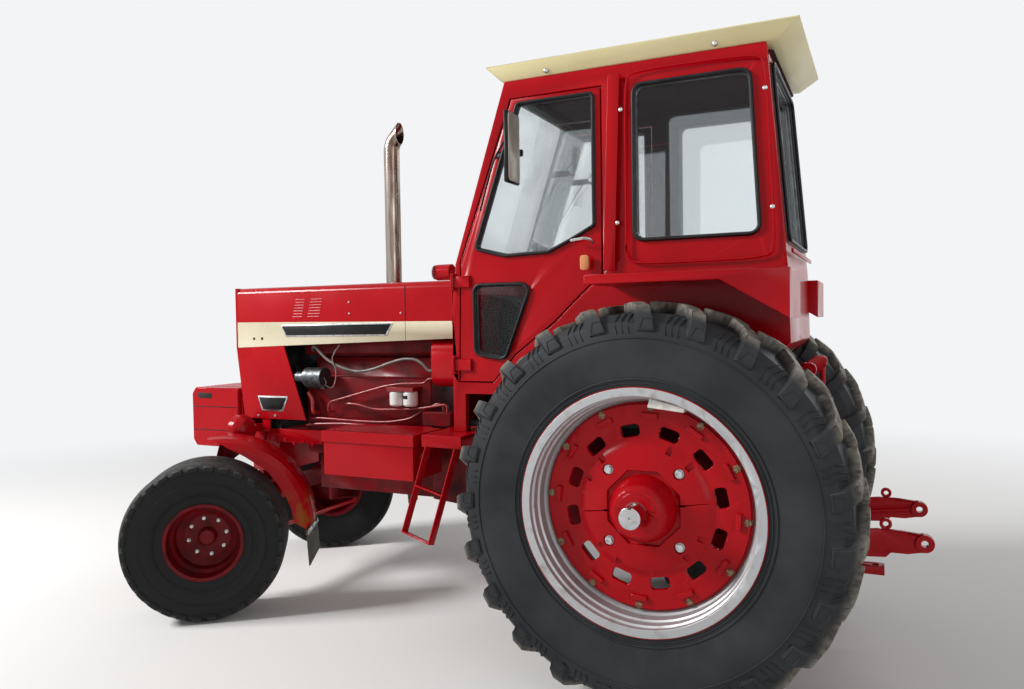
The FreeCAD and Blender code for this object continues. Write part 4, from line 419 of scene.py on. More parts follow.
def rib_along(name, points, wide):
    """A round rib or rod that follows a smooth line of points."""
    line = bpy.data.curves.new(name, "CURVE")
    line.dimensions = "3D"
    spline = line.splines.new("NURBS")
    spline.points.add(len(points) - 1)
    for knot, point in zip(spline.points, points):
        knot.co = (*point, 1.0)
    spline.order_u = 3
    spline.use_endpoint_u = True
    spline.resolution_u = 3
    line.bevel_depth = wide / 2
    line.bevel_resolution = 1
    line.use_fill_caps = True
    made = bpy.data.objects.new(name, line)
    scene.collection.objects.link(made)
    alone(made)
    bpy.ops.object.convert(target="MESH")
    return soften(bpy.context.object, 0, sharp=50)


rear_rubber = tyre_rubber("dusty_tyre_rubber", REAR_AXLE, 0.0, (0.81, 0.868), ("202224", "303234"), "8A8378")
for side, sign in (("left", 1), ("right", -1)):
    tyre = copy_of(f"rear_tyre_{side}")
    for corner in tyre.data.vertices:
        offset = corner.co - REAR_AXLE
        across = abs(offset.y - sign * REAR_TRACK)
        radius = math.hypot(offset.x, offset.z)
        carcass = 0.827 if across < 0.165 else 0.827 - (across - 0.165) * 0.74
        if across < 0.216 and abs(radius - carcass) < 0.003:
            corner.co.x -= offset.x / radius * GAP_DEEPER
            corner.co.z -= offset.z / radius * GAP_DEEPER
    stand_for(f"rear_tyre_{side}", soften(tyre, 0.005, 2, 34), rear_rubber)

# Columns: name, radius, place across from the tyre's middle, thickness
details = [fine_ring(name, REAR_AXLE + Vector((0, REAR_TRACK + across, 0)), radius, thick, 120, 8)
           for name, radius, across, thick in (("shoulder_ring", 0.715, 0.2325, 0.0028),
                                               ("bead_ring", 0.548, 0.2125, 0.0035),
                                               ("bead_line", 0.530, 0.2085, 0.0022))]
for number, start in enumerate((0.6, 2.6, 4.6)):
    points = [about_axle(start + angle, REAR_AXLE) @ (REAR_AXLE + Vector((0, REAR_TRACK + across, radius)))
              for angle, radius, across in ((0, 0.8165, 0.140), (0.7, 0.8150, 0.172), (1.6, 0.789, 0.209),
                                            (1.7, 0.760, 0.2210), (1.1, 0.735, 0.2290))]
    details.append(ring_of(rib_along(f"drain_rib_{number}", points, 0.0055), LUGS, REAR_AXLE))
frame_corners = ((-0.017, 0.795), (0.019, 0.795), (0.030, 0.752), (-0.029, 0.752))
pocket = []
for (x0, z0), (x1, z1) in zip(frame_corners, frame_corners[1:] + frame_corners[:1]):
    pocket.append(rib_along("pocket_edge", [
        REAR_AXLE + Vector((x, REAR_TRACK + 0.2335 - max(0.0, z - 0.743) * 0.118, z))
        for x, z in ((x0, z0), ((x0 + x1) / 2, (z0 + z1) / 2), (x1, z1))], 0.005))
details.append(ring_of(join(pocket, "lug_pocket"), LUGS, REAR_AXLE, -4.1))
both_sides(join(details, "rear_tyre_moulding"), "rear_tyre_moulding", rear_rubber, "rear_wheel")

# Rear rims: rolled steel sprayed silver, stepped inside, with a thin red line of overspray at the bead and a
# white-painted bent guard over the valve.

rim_silver, tree, place = new_material("silver_wheel_lacquer")
grime = add(tree, "TexNoise", {"Scale": 1000 / 60, "Detail": 5.0}, {"Vector": place})
tone = add(tree, "ValToRGB", {"ramp": ((0.55, "B0B1B3"), (0.85, "8F877C"))}, {"Fac": grime})
rough = add(tree, "MapRange", {"From Min": 0.3, "From Max": 0.7, "To Min": 0.42, "To Max": 0.55}, {"Value": grime})
flake = add(tree, "TexNoise", {"Scale": 1000 / 3, "Detail": 2.0}, {"Vector": place})
skin = add(tree, "Bump", {"Strength": 0.08, "Distance": 0.0003}, {"Height": flake})
# A satin metallic coat, browned by road dirt where water dries
finish_surface(tree, {"Metallic": 0.6}, {"Base Color": tone, "Roughness": rough, "Normal": skin})
for side in ("left", "right"):
    refinish(f"rear_rim_{side}", 0.002, rim_silver, 2, 25)
overspray = fine_ring("bead_overspray", REAR_AXLE + Vector((0, REAR_TRACK + 0.211, 0)), 0.5135, 0.0022, 120, 8)
both_sides(overspray, "bead_overspray", body_red, "rear_wheel")

white_paint, tree, place = new_material("white_brushed_paint")
soil = add(tree, "TexNoise", {"Scale": 1000 / 40, "Detail": 4.0}, {"Vector": place})
tone = add(tree, "ValToRGB", {"ramp": ((0.5, "DCD8D2"), (0.8, "B4AAA0"))}, {"Fac": soil})
rough = add(tree, "MapRange", {"To Min": 0.3, "To Max": 0.5}, {"Value": soil})
# Brushed white that has yellowed in patches
finish_surface(tree, {}, {"Base Color": tone, "Roughness": rough})
guard = solid(bpy.ops.mesh.primitive_cube_add, "valve_guard", (0.150, 0.060, 0.040), size=1.0,
              location=REAR_AXLE + Vector((0, REAR_TRACK + 0.150, 0.444)))
for corner in guard.data.vertices:
    if corner.co.x < REAR_AXLE.x:
        corner.co.z = REAR_AXLE.z + 0.456 + (corner.co.z - REAR_AXLE.z - 0.444) * 0.5
        corner.co.y = REAR_TRACK + 0.160 + (corner.co.y - REAR_TRACK - 0.150) * 0.7
guard.data.transform(about_axle(-15.0, REAR_AXLE))
both_sides(soften(guard, 0.004), "valve_guard", white_paint, "rear_wheel")

# Rear wheel centres: a red casting bolted to the rim by twelve nuts and clamped on the bare steel axle. The
# four clamp bolts are bright zinc in their wells, and the rim nuts have weathered.

bright_steel, tree, place = new_material("turned_bright_steel")
stain = add(tree, "TexNoise", {"Scale": 1000 / 25, "Detail": 5.0}, {"Vector": place})
tone = add(tree, "ValToRGB", {"ramp": ((0.5, "BDBDBE"), (0.8, "8A7F78"))}, {"Fac": stain})
rough = add(tree, "MapRange", {"To Min": 0.22, "To Max": 0.42}, {"Value": stain})
# Turned metal with a few brown water stains
finish_surface(tree, {"Metallic": 1.0}, {"Base Color": tone, "Roughness": rough})

rusty_nut, tree, place = new_material("weathered_brass_nut")
rust = add(tree, "TexNoise", {"Scale": 1000 / 12, "Detail": 5.0}, {"Vector": place})
tone = add(tree, "ValToRGB", {"ramp": ((0.42, "8F7C60"), (0.62, "5A3A2A"))}, {"Fac": rust})
pits = add(tree, "Bump", {"Strength": 0.4, "Distance": 0.0005}, {"Height": rust})
# Dull yellow metal under brown rust spots
finish_surface(tree, {"Metallic": 0.7, "Roughness": 0.55}, {"Base Color": tone, "Normal": pits})

for side in ("left", "right"):
    centre = refinish(f"rear_wheel_centre_{side}", 0.003, body_red, 2, 32)
    centre.data.materials.append(bright_steel)
    for face in centre.data.polygons:
        ends = [centre.data.vertices[index].co - REAR_AXLE for index in face.vertices]
        if all(math.hypot(end.x, end.z) < 0.0495 and abs(end.y) - REAR_TRACK > 0.2 for end in ends):
            face.material_index = 1
clamp_bolt = hex_head("clamp_bolts", REAR_AXLE + Vector((0, REAR_TRACK + 0.108, 0.2145)), "y", 0.030, 0.014, 0.040)
both_sides(ring_of(clamp_bolt, 4, REAR_AXLE, 45), "clamp_bolts", zinc, "rear_wheel")
rim_nut = hex_head("rim_nuts", REAR_AXLE + Vector((0, REAR_TRACK + 0.0745, 0.4215)), "y", 0.030, 0.020, 0.036)
both_sides(ring_of(rim_nut, 12, REAR_AXLE, -4), "rim_nuts", rusty_nut, "rear_wheel")

# Front wheels: ribbed tyres with slotted shoulders on deep red rims, held by eight zinc nuts on a raised
# flange. The tyres' near-black rubber and the rims' dark red are painted shade. They are built straight ahead about
# the kingpin, and turned as the steering stands.

STEER_REST = 37.5
SWING = {side: Matrix.Translation((1.63797, sign * 0.575, 0.0)) @ Matrix.Rotation(math.radians(STEER_REST), 4, "Z")
         @ (Matrix() if side == "left" else MIRROR) for side, sign in (("left", 1), ("right", -1))}
HUB = Vector((0.0, 0.220, 0.445))


def on_wheel(piece, name, side, finish, body):
    """A piece built straight ahead about the left kingpin, turned or mirrored onto one front wheel."""
    made = twin(piece, f"{name}_{side}", SWING[side])
    return mount(made, finish, f"{body}_{side}")


blocks = []
for edge in (1, -1):
    block = solid(bpy.ops.mesh.primitive_cube_add, "shoulder_block", (0.062, 0.052, 0.030), size=1.0,
                  location=HUB + Vector((0.0, edge * 0.1505, 0.4265)))
    for corner in block.data.vertices:
        if (corner.co.y - HUB.y) * edge > 0.150:
            corner.co.z -= 0.014
            corner.co.x *= 0.88
    soften(block, 0.004)
    blocks.append(ring_of(block, 32, HUB, 5.6 if edge > 0 else 0.0))
blocks = join(blocks, "shoulder_blocks")
flange = solid(bpy.ops.mesh.primitive_cylinder_add, "hub_flange", vertices=48, radius=0.128, depth=0.012,
               location=HUB + Vector((0, -0.024, 0)), rotation=(math.radians(90), 0, 0))
soften(flange, 0.004)
nuts = ring_of(hex_head("hub_nuts", HUB + Vector((0, -0.018, 0.105)), "y", 0.017, 0.012, 0.022), 8, HUB, 10.0)
side_rings = join([fine_ring("side_ring", HUB + Vector((0, across, 0)), radius, 0.003, 96, 6)
                   for radius, across in ((0.3365, 0.1765), (0.262, 0.168))], "side_rings")
for side in ("left", "right"):
    # Painted shade: near-black rubber with dark dust, a darker copy of the rear tyres' rubber
    rubber = tyre_rubber(f"front_tyre_shaded_rubber_{side}", SWING[side] @ HUB, STEER_REST, (0.40, 0.447),
                         ("0F1011", "191A1B"), "3C3B39")
    refinish(f"front_tyre_{side}", 0.003, rubber)
    # Painted shade: the rim and, below, its hub flange take the shade-darkened red of the deep dish
    refinish(f"front_rim_{side}", 0.003, shade_darkened_red)
    on_wheel(blocks, "shoulder_blocks", side, rubber, "front_wheel")
    on_wheel(side_rings, "side_rings", side, rubber, "front_wheel")
    on_wheel(flange, "hub_flange", side, shade_darkened_red, "front_wheel")
    on_wheel(nuts, "hub_nuts", side, zinc, "front_wheel")
for piece in (blocks, side_rings, flange, nuts):
    bpy.data.objects.remove(piece)

# Front mudguards and flaps: a rolled red guard, stained orange near its rear end, with a grey rubber flap that
# hangs from it under a bright clamp strip with three bolts.

stained_red, tree, place = new_material("stained_red_enamel")
coat = add(tree, "TexNoise", {"Scale": 1000 / 420, "Detail": 3.0}, {"Vector": place})
tone = add(tree, "ValToRGB", {"ramp": ((0.35, "9E0410"), (0.72, "AC0813"))}, {"Fac": coat})
height = add(tree, "SeparateXYZ", links={0: place}).outputs["Z"]
low = add(tree, "MapRange", {"interpolation_type": "SMOOTHSTEP", "From Min": 0.72, "From Max": 0.55},
          {"Value": height})
smear = add(tree, "TexNoise", {"Scale": 1000 / 60, "Detail": 5.0}, {"Vector": place})
patchy = add(tree, "MapRange", {"From Min": 0.45, "From Max": 0.6}, {"Value": smear})
amount = add(tree, "Math", {"operation": "MULTIPLY"}, {0: low, 1: patchy})
stained = add(tree, "Mix", {"data_type": "RGBA", 7: "94480F"}, {0: amount, 6: tone})
# Red enamel that has gone orange-brown where the flap rubs
finish_surface(tree, {"Specular IOR Level": 0.16, "Roughness": 0.25}, {"Base Color": stained.outputs[2]})

flap_rubber, tree, place = new_material("grey_sheet_rubber")
chalk = add(tree, "TexNoise", {"Scale": 1000 / 90, "Detail": 5.0}, {"Vector": place})
tone = add(tree, "ValToRGB", {"ramp": ((0.35, "454740"), (0.7, "5C5D52"))}, {"Fac": chalk})
skin = add(tree, "Bump", {"Strength": 0.3, "Distance": 0.0008}, {"Height": chalk})
# Chalky grey-green sheet
finish_surface(tree, {"Roughness": 0.75}, {"Base Color": tone, "Normal": skin})

SHEET = (Matrix.Translation((-0.5488, 0.262, 0.460)) @ Matrix.Rotation(math.radians(-20), 4, "Z")
         @ Matrix.Rotation(math.radians(4), 4, "Y"))
strip = plate("flap_clamp", [(-0.0085, y, z) for y, z in (
    (-0.003, -0.010), (-0.165, 0.030), (-0.165, 0.002), (-0.003, -0.038))], -0.004, 0.002, "x")
heads = [hex_head("clamp_head", (-0.0125, y, -0.012 - y * 0.247 - 0.012), "-x", 0.013, 0.006, 0.019)
         for y in (-0.02, -0.084, -0.148)]
clamp = join([strip] + heads, "flap_clamp")
clamp.data.transform(SHEET)
for side in ("left", "right"):
    refinish(f"front_fender_{side}", 0.0015, stained_red, 2, 24)
    refinish(f"mudflap_{side}", 0.002, flap_rubber)
    on_wheel(clamp, "flap_clamp", side, zinc, "knuckle")
bpy.data.objects.remove(clamp)

# Engine side: the cast alternator with its finned case and wires, two white filters, painted steel pipes and a
# rubber hose, the dark radiator core and fan, and the stainless exhaust.

dark_alloy, tree, place = new_material("dark_cast_alloy")
oxide = add(tree, "TexNoise", {"Scale": 1000 / 20, "Detail": 4.0}, {"Vector": place})
tone = add(tree, "ValToRGB", {"ramp": ((0.4, "5F6164"), (0.75, "2E2F31"))}, {"Fac": oxide})
skin = add(tree, "Bump", {"Strength": 0.25, "Distance": 0.0006}, {"Height": oxide})
# Oxidised die casting, darker where oil has settled
finish_surface(tree, {"Metallic": 0.9, "Roughness": 0.42}, {"Base Color": tone, "Normal": skin})
refinish("alternator", 0.004, dark_alloy)
fins = [fine_ring("fin", (x, 0.2530, 1.3270), 0.0615, 0.0028, 48, 6, (0, math.radians(90), 0))
        for x in (1.075, 1.090, 1.105, 1.120, 1.135, 1.150)]
mount(join(fins, "alternator_fins"), dark_alloy, "chassis")

# The rocker cover fills the gap under the bonnet, in the castings' dark red of painted shade
cover = solid(bpy.ops.mesh.primitive_cube_add, "rocker_cover", (1.10, 0.13, 0.100), size=1.0,
              location=(0.715, 0.095, 1.515))
mount(soften(cover, 0.018, 4), shade_darkened_red, "chassis")

wire_cover, tree, place = new_material("grey_wire_sleeve")
dirt = add(tree, "TexNoise", {"Scale": 1000 / 40, "Detail": 4.0}, {"Vector": place})
tone = add(tree, "ValToRGB", {"ramp": ((0.4, "8B8785"), (0.7, "5E5452"))}, {"Fac": dirt})
# Dusty grey plastic sleeve
finish_surface(tree, {"Roughness": 0.45}, {"Base Color": tone})
# Columns: name, thickness, points of the wire
for name, thick, route in (
    ("charge_wire", 0.007, ((0.930, 0.240, 1.528), (0.999, 0.250, 1.453), (0.944, 0.255, 1.386), (0.957, 0.255, 1.294),
                            (0.991, 0.258, 1.260), (1.040, 0.255, 1.293))),
    ("lamp_wire", 0.005, ((1.060, 0.262, 1.352), (1.020, 0.275, 1.330), (1.005, 0.272, 1.300), (1.035, 0.262, 1.276))),
):
    mount(rib_along(name, route, thick), wire_cover, "chassis")

filter_white, tree, place = new_material("white_filter_lacquer")
height = add(tree, "SeparateXYZ", links={0: place}).outputs["Z"]
band = add(tree, "ValToRGB", {"ramp": ((0.0, "D8D6D2"), (0.74, "D8D6D2"), (0.80, "7E0A10"), (1.0, "7E0A10"))}, {
    "Fac": add(tree, "MapRange", {"From Min": 1.176, "From Max": 1.286}, {"Value": height})})
# White cans under a head casting in the body colour
finish_surface(tree, {"Roughness": 0.3}, {"Base Color": band})
refinish("oil_filters", 0.003, filter_white)
label = solid(bpy.ops.mesh.primitive_cylinder_add, "filter_band", vertices=32, radius=0.0378, depth=0.020,
              location=(0.4360, 0.2530, 1.2300))
soften(label, 0.0006, 1)

soft_black, tree, place = new_material("satin_black_enamel")
dust = add(tree, "TexNoise", {"Scale": 1000 / 70, "Detail": 5.0}, {"Vector": place})
tone = add(tree, "ValToRGB", {"ramp": ((0.5, "141415"), (0.8, "2A2725"))}, {"Fac": dust})
rough = add(tree, "MapRange", {"From Min": 0.3, "From Max": 0.7, "To Min": 0.35, "To Max": 0.6}, {"Value": dust})
# Black chassis paint under a little dust
finish_surface(tree, {"Specular IOR Level": 0.2}, {"Base Color": tone, "Roughness": rough})
mount(label, soft_black, "chassis")
for node, width in (("radiator", 0.003), ("fan", 0.001), ("grille", 0.002)):
    refinish(node, width, soft_black)

pipe_paint, tree, place = new_material("oily_pipe_paint")
oil = add(tree, "TexNoise", {"Scale": 1000 / 30, "Detail": 5.0}, {"Vector": place})
tone = add(tree, "ValToRGB", {"ramp": ((0.4, "9A1C20"), (0.7, "5A1416"))}, {"Fac": oil})
# Sprayed over with the engine, so red with oily brown patches
finish_surface(tree, {"Roughness": 0.28}, {"Base Color": tone})
refinish("engine_pipes", 0, pipe_paint)

hose_rubber, tree, place = new_material("dusty_hose_rubber")
dust = add(tree, "TexNoise", {"Scale": 1000 / 50, "Detail": 4.0}, {"Vector": place})
tone = add(tree, "ValToRGB", {"ramp": ((0.4, "544B47"), (0.7, "746A64"))}, {"Fac": dust})
# Smooth rubber, greyed by dust
finish_surface(tree, {"Roughness": 0.4}, {"Base Color": tone})
refinish("engine_hose", 0, hose_rubber)

stainless, tree, place = new_material("heat_tinted_stainless")
drawn = add(tree, "Mapping", {"Scale": (1.0, 1.0, 0.12)}, {"Vector": place})
streak = add(tree, "TexNoise", {"Scale": 1000 / 30, "Detail": 4.0}, {"Vector": drawn})
tint = add(tree, "ValToRGB", {"ramp": ((0.38, "A79C92"), (0.62, "6E5546"))}, {"Fac": streak})
rough = add(tree, "MapRange", {"From Min": 0.3, "From Max": 0.7, "To Min": 0.16, "To Max": 0.34}, {"Value": streak})
# Drawn lengthways, with brown heat tint in long streaks
finish_surface(tree, {"Metallic": 1.0}, {"Base Color": tint, "Roughness": rough})
refinish("exhaust_pipe", 0.0006, stainless)

# Bonnet and nose: pressed sheet in the body colour, its long top edges rolled over. Louvres, a seam, bolts, a
# dark plate in the band and a small badge on the nose are let in, both blank.


def roll_top(node):
    """The sheet's two long top edges rolled to a soft radius, inside and out."""
    sheet = copy_of(node)
    bpy.ops.object.mode_set(mode="EDIT")
    bpy.ops.mesh.select_mode(type="EDGE")
    bpy.ops.mesh.select_all(action="DESELECT")
    bpy.ops.object.mode_set(mode="OBJECT")
    corners = sheet.data.vertices
    for edge in sheet.data.edges:
        ends = [corners[index].co for index in edge.vertices]
        edge.select = all(end.z > 1.872 and abs(end.y) > 0.268 for end in ends) and abs(ends[0].x - ends[1].x) > 0.05
    bpy.ops.object.mode_set(mode="EDIT")
    bpy.ops.mesh.bevel(offset=0.018, segments=5, affect="EDGES")
    bpy.ops.object.mode_set(mode="OBJECT")
    return soften(sheet, 0.0015, 2, 32)


for node in ("bonnet", "nose_panels"):
    stand_for(node, roll_top(node), body_red)

band_cream, tree, place = new_material("cream_band_enamel")
fade = add(tree, "TexNoise", {"Scale": 1000 / 260, "Detail": 4.0}, {"Vector": place})
tone = add(tree, "ValToRGB", {"ramp": ((0.4, "CFC7AC"), (0.75, "C2B898"))}, {"Fac": fade})
rough = add(tree, "MapRange", {"To Min": 0.18, "To Max": 0.34}, {"Value": fade})
# Polished cream that is a little darker where it was touched up
finish_surface(tree, {}, {"Base Color": tone, "Roughness": rough})
refinish("side_bands", 0.0005, band_cream)

louvres = []
for rear_x, front_x in ((1.177, 1.246), (1.046, 1.132)):
    for row in range(7):
        z = 1.700 + row * 0.0173
        slip = (z - 1.70) * -0.25
        louvres.append(rib_along("louvre", [(x + slip, 0.2803, z) for x in (rear_x, (rear_x + front_x) / 2, front_x)],
                                 0.0042))
louvre_highlight, tree, place = new_material("painted_highlight_louvre_lip")
highlight_break = add(tree, "TexNoise", {"Scale": 1000 / 10, "Detail": 3.0}, {"Vector": place})
tone = add(tree, "ValToRGB", {"ramp": ((0.4, "C77E80"), (0.7, "B5484F"))}, {"Fac": highlight_break})
# Painted highlight: pale pink on the pressed lips stands for the light they catch, broken up in patches
finish_surface(tree, {"Roughness": 0.3}, {"Base Color": tone})
both_sides(join(louvres, "bonnet_louvres"), "bonnet_louvres", louvre_highlight)
seam = plate("bonnet_seam", [(x, 0.2795, z) for x, z in (
    (0.4395, 1.866), (0.4365, 1.866), (0.4365, 1.520), (0.4395, 1.520))], 0.0031, 0)
both_sides(seam, "bonnet_seam", shadow_black)
# Columns: place along, level, across the flats
bolts = [hex_head("bonnet_bolt", (x, 0.280, z), "y", across, 0.004, across * 1.35) for x, z, across in (
    (0.825, 1.779, 0.009), (0.824, 1.713, 0.009), (0.467, 1.709, 0.009), (1.537, 1.087, 0.013),
    (1.401, 1.092, 0.013))]
both_sides(join(bolts, "bonnet_bolts"), "bonnet_bolts", zinc)
# Two near-black discs stand for the band's holes: painted shade
holes = [soften(solid(bpy.ops.mesh.primitive_cylinder_add, "band_hole", vertices=20, radius=0.009, depth=0.002,
                      location=(x, 0.2821, 1.568), rotation=(math.radians(90), 0, 0)), 0.0004, 1)
         for x in (1.555, 1.490)]
both_sides(join(holes, "band_holes"), "band_holes", shadow_black)


def trim_plate(name, corners, base, rim):
    """A blank dark plate in a bright frame: its outline, how far out it stands, and the frame's width."""
    middle = [sum(corner[axis] for corner in corners) / len(corners) for axis in (0, 1)]
    frame_piece = plate(name + "_frame", [(x, base, z) for x, z in corners], 0.004, 0.006)
    inner = [(x + math.copysign(rim, middle[0] - x), z + math.copysign(rim, middle[1] - z)) for x, z in corners]
    field = plate(name, [(x, base + 0.0035, z) for x, z in inner], 0.0015, 0.005)
    both_sides(frame_piece, name + "_frame", zinc)
    both_sides(field, name, soft_black)


trim_plate("band_plate", ((1.338, 1.653), (0.520, 1.657), (0.562, 1.580), (1.301, 1.578)), 0.2815, 0.009)
trim_plate("nose_badge", ((1.537, 1.213), (1.296, 1.213), (1.338, 1.119), (1.504, 1.119)), 0.2795, 0.010)

# Cab: a welded shell in red enamel, with doors, floor and the cream roof tray. Its inside faces are a dark
# maroon of painted shade. Zinc dome bolts hold the roof and posts, and a channel and a pressed line stiffen the side.

interior_shade, tree, place = new_material("painted_shade_interior")
shade_noise = add(tree, "TexNoise", {"Scale": 1000 / 30, "Detail": 3.0}, {"Vector": place})
tone = add(tree, "ValToRGB", {"ramp": ((0.4, "2A151B"), (0.7, "361B22"))}, {"Fac": shade_noise})
skin = add(tree, "Bump", {"Strength": 0.06, "Distance": 0.0004}, {"Height": shade_noise})
# Painted shade: a dark maroon, with a short nap in its bump, stands for the shade inside the cab
finish_surface(tree, {"Roughness": 0.9, "Specular IOR Level": 0.2}, {"Base Color": tone, "Normal": skin})


def shade_inside(piece, half):
    """The faces that look into the cab take the dark maroon of painted shade."""
    piece.data.materials.append(interior_shade)
    for face in piece.data.polygons:
        middle, out = face.center, face.normal
        if abs(middle.y) < half and -1.63 < middle.x < -0.02 and out.dot(Vector((-0.82, 0, 2.0)) - middle) > 0.02 \
                and (abs(out.y) > 0.9 or abs(middle.y) < half - 0.02):
            face.material_index = 1


shade_inside(refinish("cab_frame", 0.004, body_red), 0.4265)
for side in ("left", "right"):
    shade_inside(refinish(f"door_{side}", 0.003, body_red), 0.4375)

roof_cream, tree, place = new_material("cream_roof_enamel")
fade = add(tree, "TexNoise", {"Scale": 1000 / 350, "Detail": 4.0}, {"Vector": place})
tone = add(tree, "ValToRGB", {"ramp": ((0.4, "D3C898"), (0.75, "C6BA8A"))}, {"Fac": fade})
rough = add(tree, "MapRange", {"To Min": 0.28, "To Max": 0.42}, {"Value": fade})
dent = add(tree, "TexNoise", {"Scale": 1000 / 180, "Detail": 1.0}, {"Vector": place})
wave = add(tree, "Bump", {"Strength": 0.25, "Distance": 0.003}, {"Height": dent})
# Sun-faded cream on thin sheet that has a few shallow dents
finish_surface(tree, {}, {"Base Color": tone, "Roughness": rough, "Normal": wave})
refinish("cab_roof", 0.007, roof_cream, 3)

# A headliner under the roof, in the same dark painted shade
liner = plate("headliner", [(x, y, 2.822) for x, y in ((-1.58, -0.42), (-0.36, -0.42), (-0.36, 0.42), (-1.58, 0.42))],
              0.006, 0.02, "z")
mount(liner, interior_shade, "chassis")

ribbed_mat, tree, place = new_material("black_rubber_mat")
soil = add(tree, "TexNoise", {"Scale": 1000 / 120, "Detail": 5.0}, {"Vector": place})
tone = add(tree, "ValToRGB", {"ramp": ((0.4, "272727"), (0.7, "45413B"))}, {"Fac": soil})
ribs = add(tree, "TexWave", {"Scale": 1000 / 18 / 2}, {"Vector": place})
skin = add(tree, "Bump", {"Strength": 0.3, "Distance": 0.001}, {"Height": ribs})
# Ribbed rubber with trodden-in soil
finish_surface(tree, {"Roughness": 0.7}, {"Base Color": tone, "Normal": skin})
refinish("cab_floor", 0.002, ribbed_mat)


def dome_bolt(place, facing, radius):
    """A round-headed bolt: a squashed ball, pressed flat where it meets the sheet."""
    dome = solid(bpy.ops.mesh.primitive_uv_sphere_add, "dome_bolt", segments=20, ring_count=10, radius=radius,
                 location=place)
    for corner in dome.data.vertices:
        height = (corner.co - Vector(place)).dot(facing)
        corner.co -= facing * (height * 0.45 if height > 0 else height * 0.9)
    return soften(dome, 0, sharp=60)


CAB_SIDE = 0.4895
SIDE = Vector((0, 1, 0))
ROOF_SIDE = Vector((0, 0.906, -0.423))
domes = [dome_bolt((x, 0.4905, z), SIDE, 0.011) for x, z in (
    (-0.905, 2.632), (-0.883, 2.106), (-1.553, 2.644), (-1.581, 2.131))]
domes += [dome_bolt((x, 0.4835, 2.868), ROOF_SIDE, 0.012) for x in (-0.528, -1.340)]
both_sides(join(domes, "cab_bolts"), "cab_bolts", zinc)

channel = plate("post_channel", [(x, CAB_SIDE, z) for x, z in (
    (-0.846, 2.800), (-0.902, 2.800), (-0.868, 1.885), (-0.812, 1.885))], 0.0065, 0.004)
both_sides(channel, "post_channel", body_red)
ring_points = ((-0.925, 1.945), (-0.925, 2.350), (-0.925, 2.765), (-0.960, 2.800), (-1.240, 2.800), (-1.520, 2.795),
               (-1.552, 2.760), (-1.568, 2.350), (-1.588, 1.955), (-1.560, 1.915), (-1.240, 1.912), (-0.960, 1.912),
               (-0.925, 1.945), (-0.925, 2.000))
both_sides(rib_along("window_pressing", [(x, CAB_SIDE, z) for x, z in ring_points], 0.012), "window_pressing", body_red)
ledge = plate("rear_ledge", [(-1.6525, y, z) for y, z in (
    (-0.44, 1.952), (0.44, 1.952), (0.44, 1.934), (-0.44, 1.934))], -0.010, 0, "x")
mount(ledge, body_red, "chassis")

# Window seals: an extruded black rubber profile round every pane, with a paler filler bead pressed into it,
# which holds the safety glass.

black_rubber, tree, place = new_material("black_seal_rubber")
dust = add(tree, "TexNoise", {"Scale": 1000 / 60, "Detail": 4.0}, {"Vector": place})
tone = add(tree, "ValToRGB", {"ramp": ((0.45, "101112"), (0.75, "1D1E1F"))}, {"Fac": dust})
rough = add(tree, "MapRange", {"To Min": 0.35, "To Max": 0.5}, {"Value": dust})
# Extruded rubber with a soft shine
finish_surface(tree, {"Specular IOR Level": 0.3}, {"Base Color": tone, "Roughness": rough})
filler, tree, place = new_material("grey_filler_strip")
dust = add(tree, "TexNoise", {"Scale": 1000 / 40, "Detail": 4.0}, {"Vector": place})
tone = add(tree, "ValToRGB", {"ramp": ((0.45, "47494B"), (0.75, "606366"))}, {"Fac": dust})
# Smooth strip that picks up a line of light
finish_surface(tree, {"Roughness": 0.25}, {"Base Color": tone})
clear_glass, tree, place = new_material("tinted_safety_glass")
haze = add(tree, "TexNoise", {"Scale": 1000 / 300, "Detail": 3.0}, {"Vector": place})
tone = add(tree, "ValToRGB", {"ramp": ((0.4, "D6E2E4"), (0.8, "C9D6D8"))}, {"Fac": haze})
# Toughened sheet with a faint green-grey tint
finish_surface(tree, {"Transmission Weight": 1.0, "Roughness": 0.0, "IOR": 1.45, "Alpha": 0.35},
               {"Base Color": tone})
for node in ("cab_glass", "door_glass_left", "door_glass_right"):
    nodes[node].data.materials.clear()
    nodes[node].data.materials.append(clear_glass)


def edge_cord(node, toward, thick, shift, name):
    """A round cord along the outline of the panes that face one way."""
    cord = copy_of(node)
    bpy.ops.object.mode_set(mode="EDIT")
    bpy.ops.mesh.select_mode(type="FACE")
    bpy.ops.object.mode_set(mode="OBJECT")
    for face in cord.data.polygons:
        face.select = face.normal.dot(Vector(toward)) < 0.9
    bpy.ops.object.mode_set(mode="EDIT")
    bpy.ops.mesh.delete(type="FACE")
    bpy.ops.mesh.select_all(action="SELECT")
    bpy.ops.mesh.delete(type="ONLY_FACE")
    bpy.ops.object.mode_set(mode="OBJECT")
    cord.data.transform(Matrix.Translation(Vector(toward) * shift))
    alone(cord)
    bpy.ops.object.convert(target="CURVE")
    cord = bpy.context.object
    cord.data.bevel_depth = thick / 2
    cord.data.bevel_resolution = 2
    bpy.ops.object.convert(target="MESH")
    cord = bpy.context.object
    cord.name = name
    return soften(cord, 0, sharp=60)


FRONT_PANE = (0.9406, 0.0, 0.3396)
REAR_PANE = (-0.9953, 0.0, 0.0973)
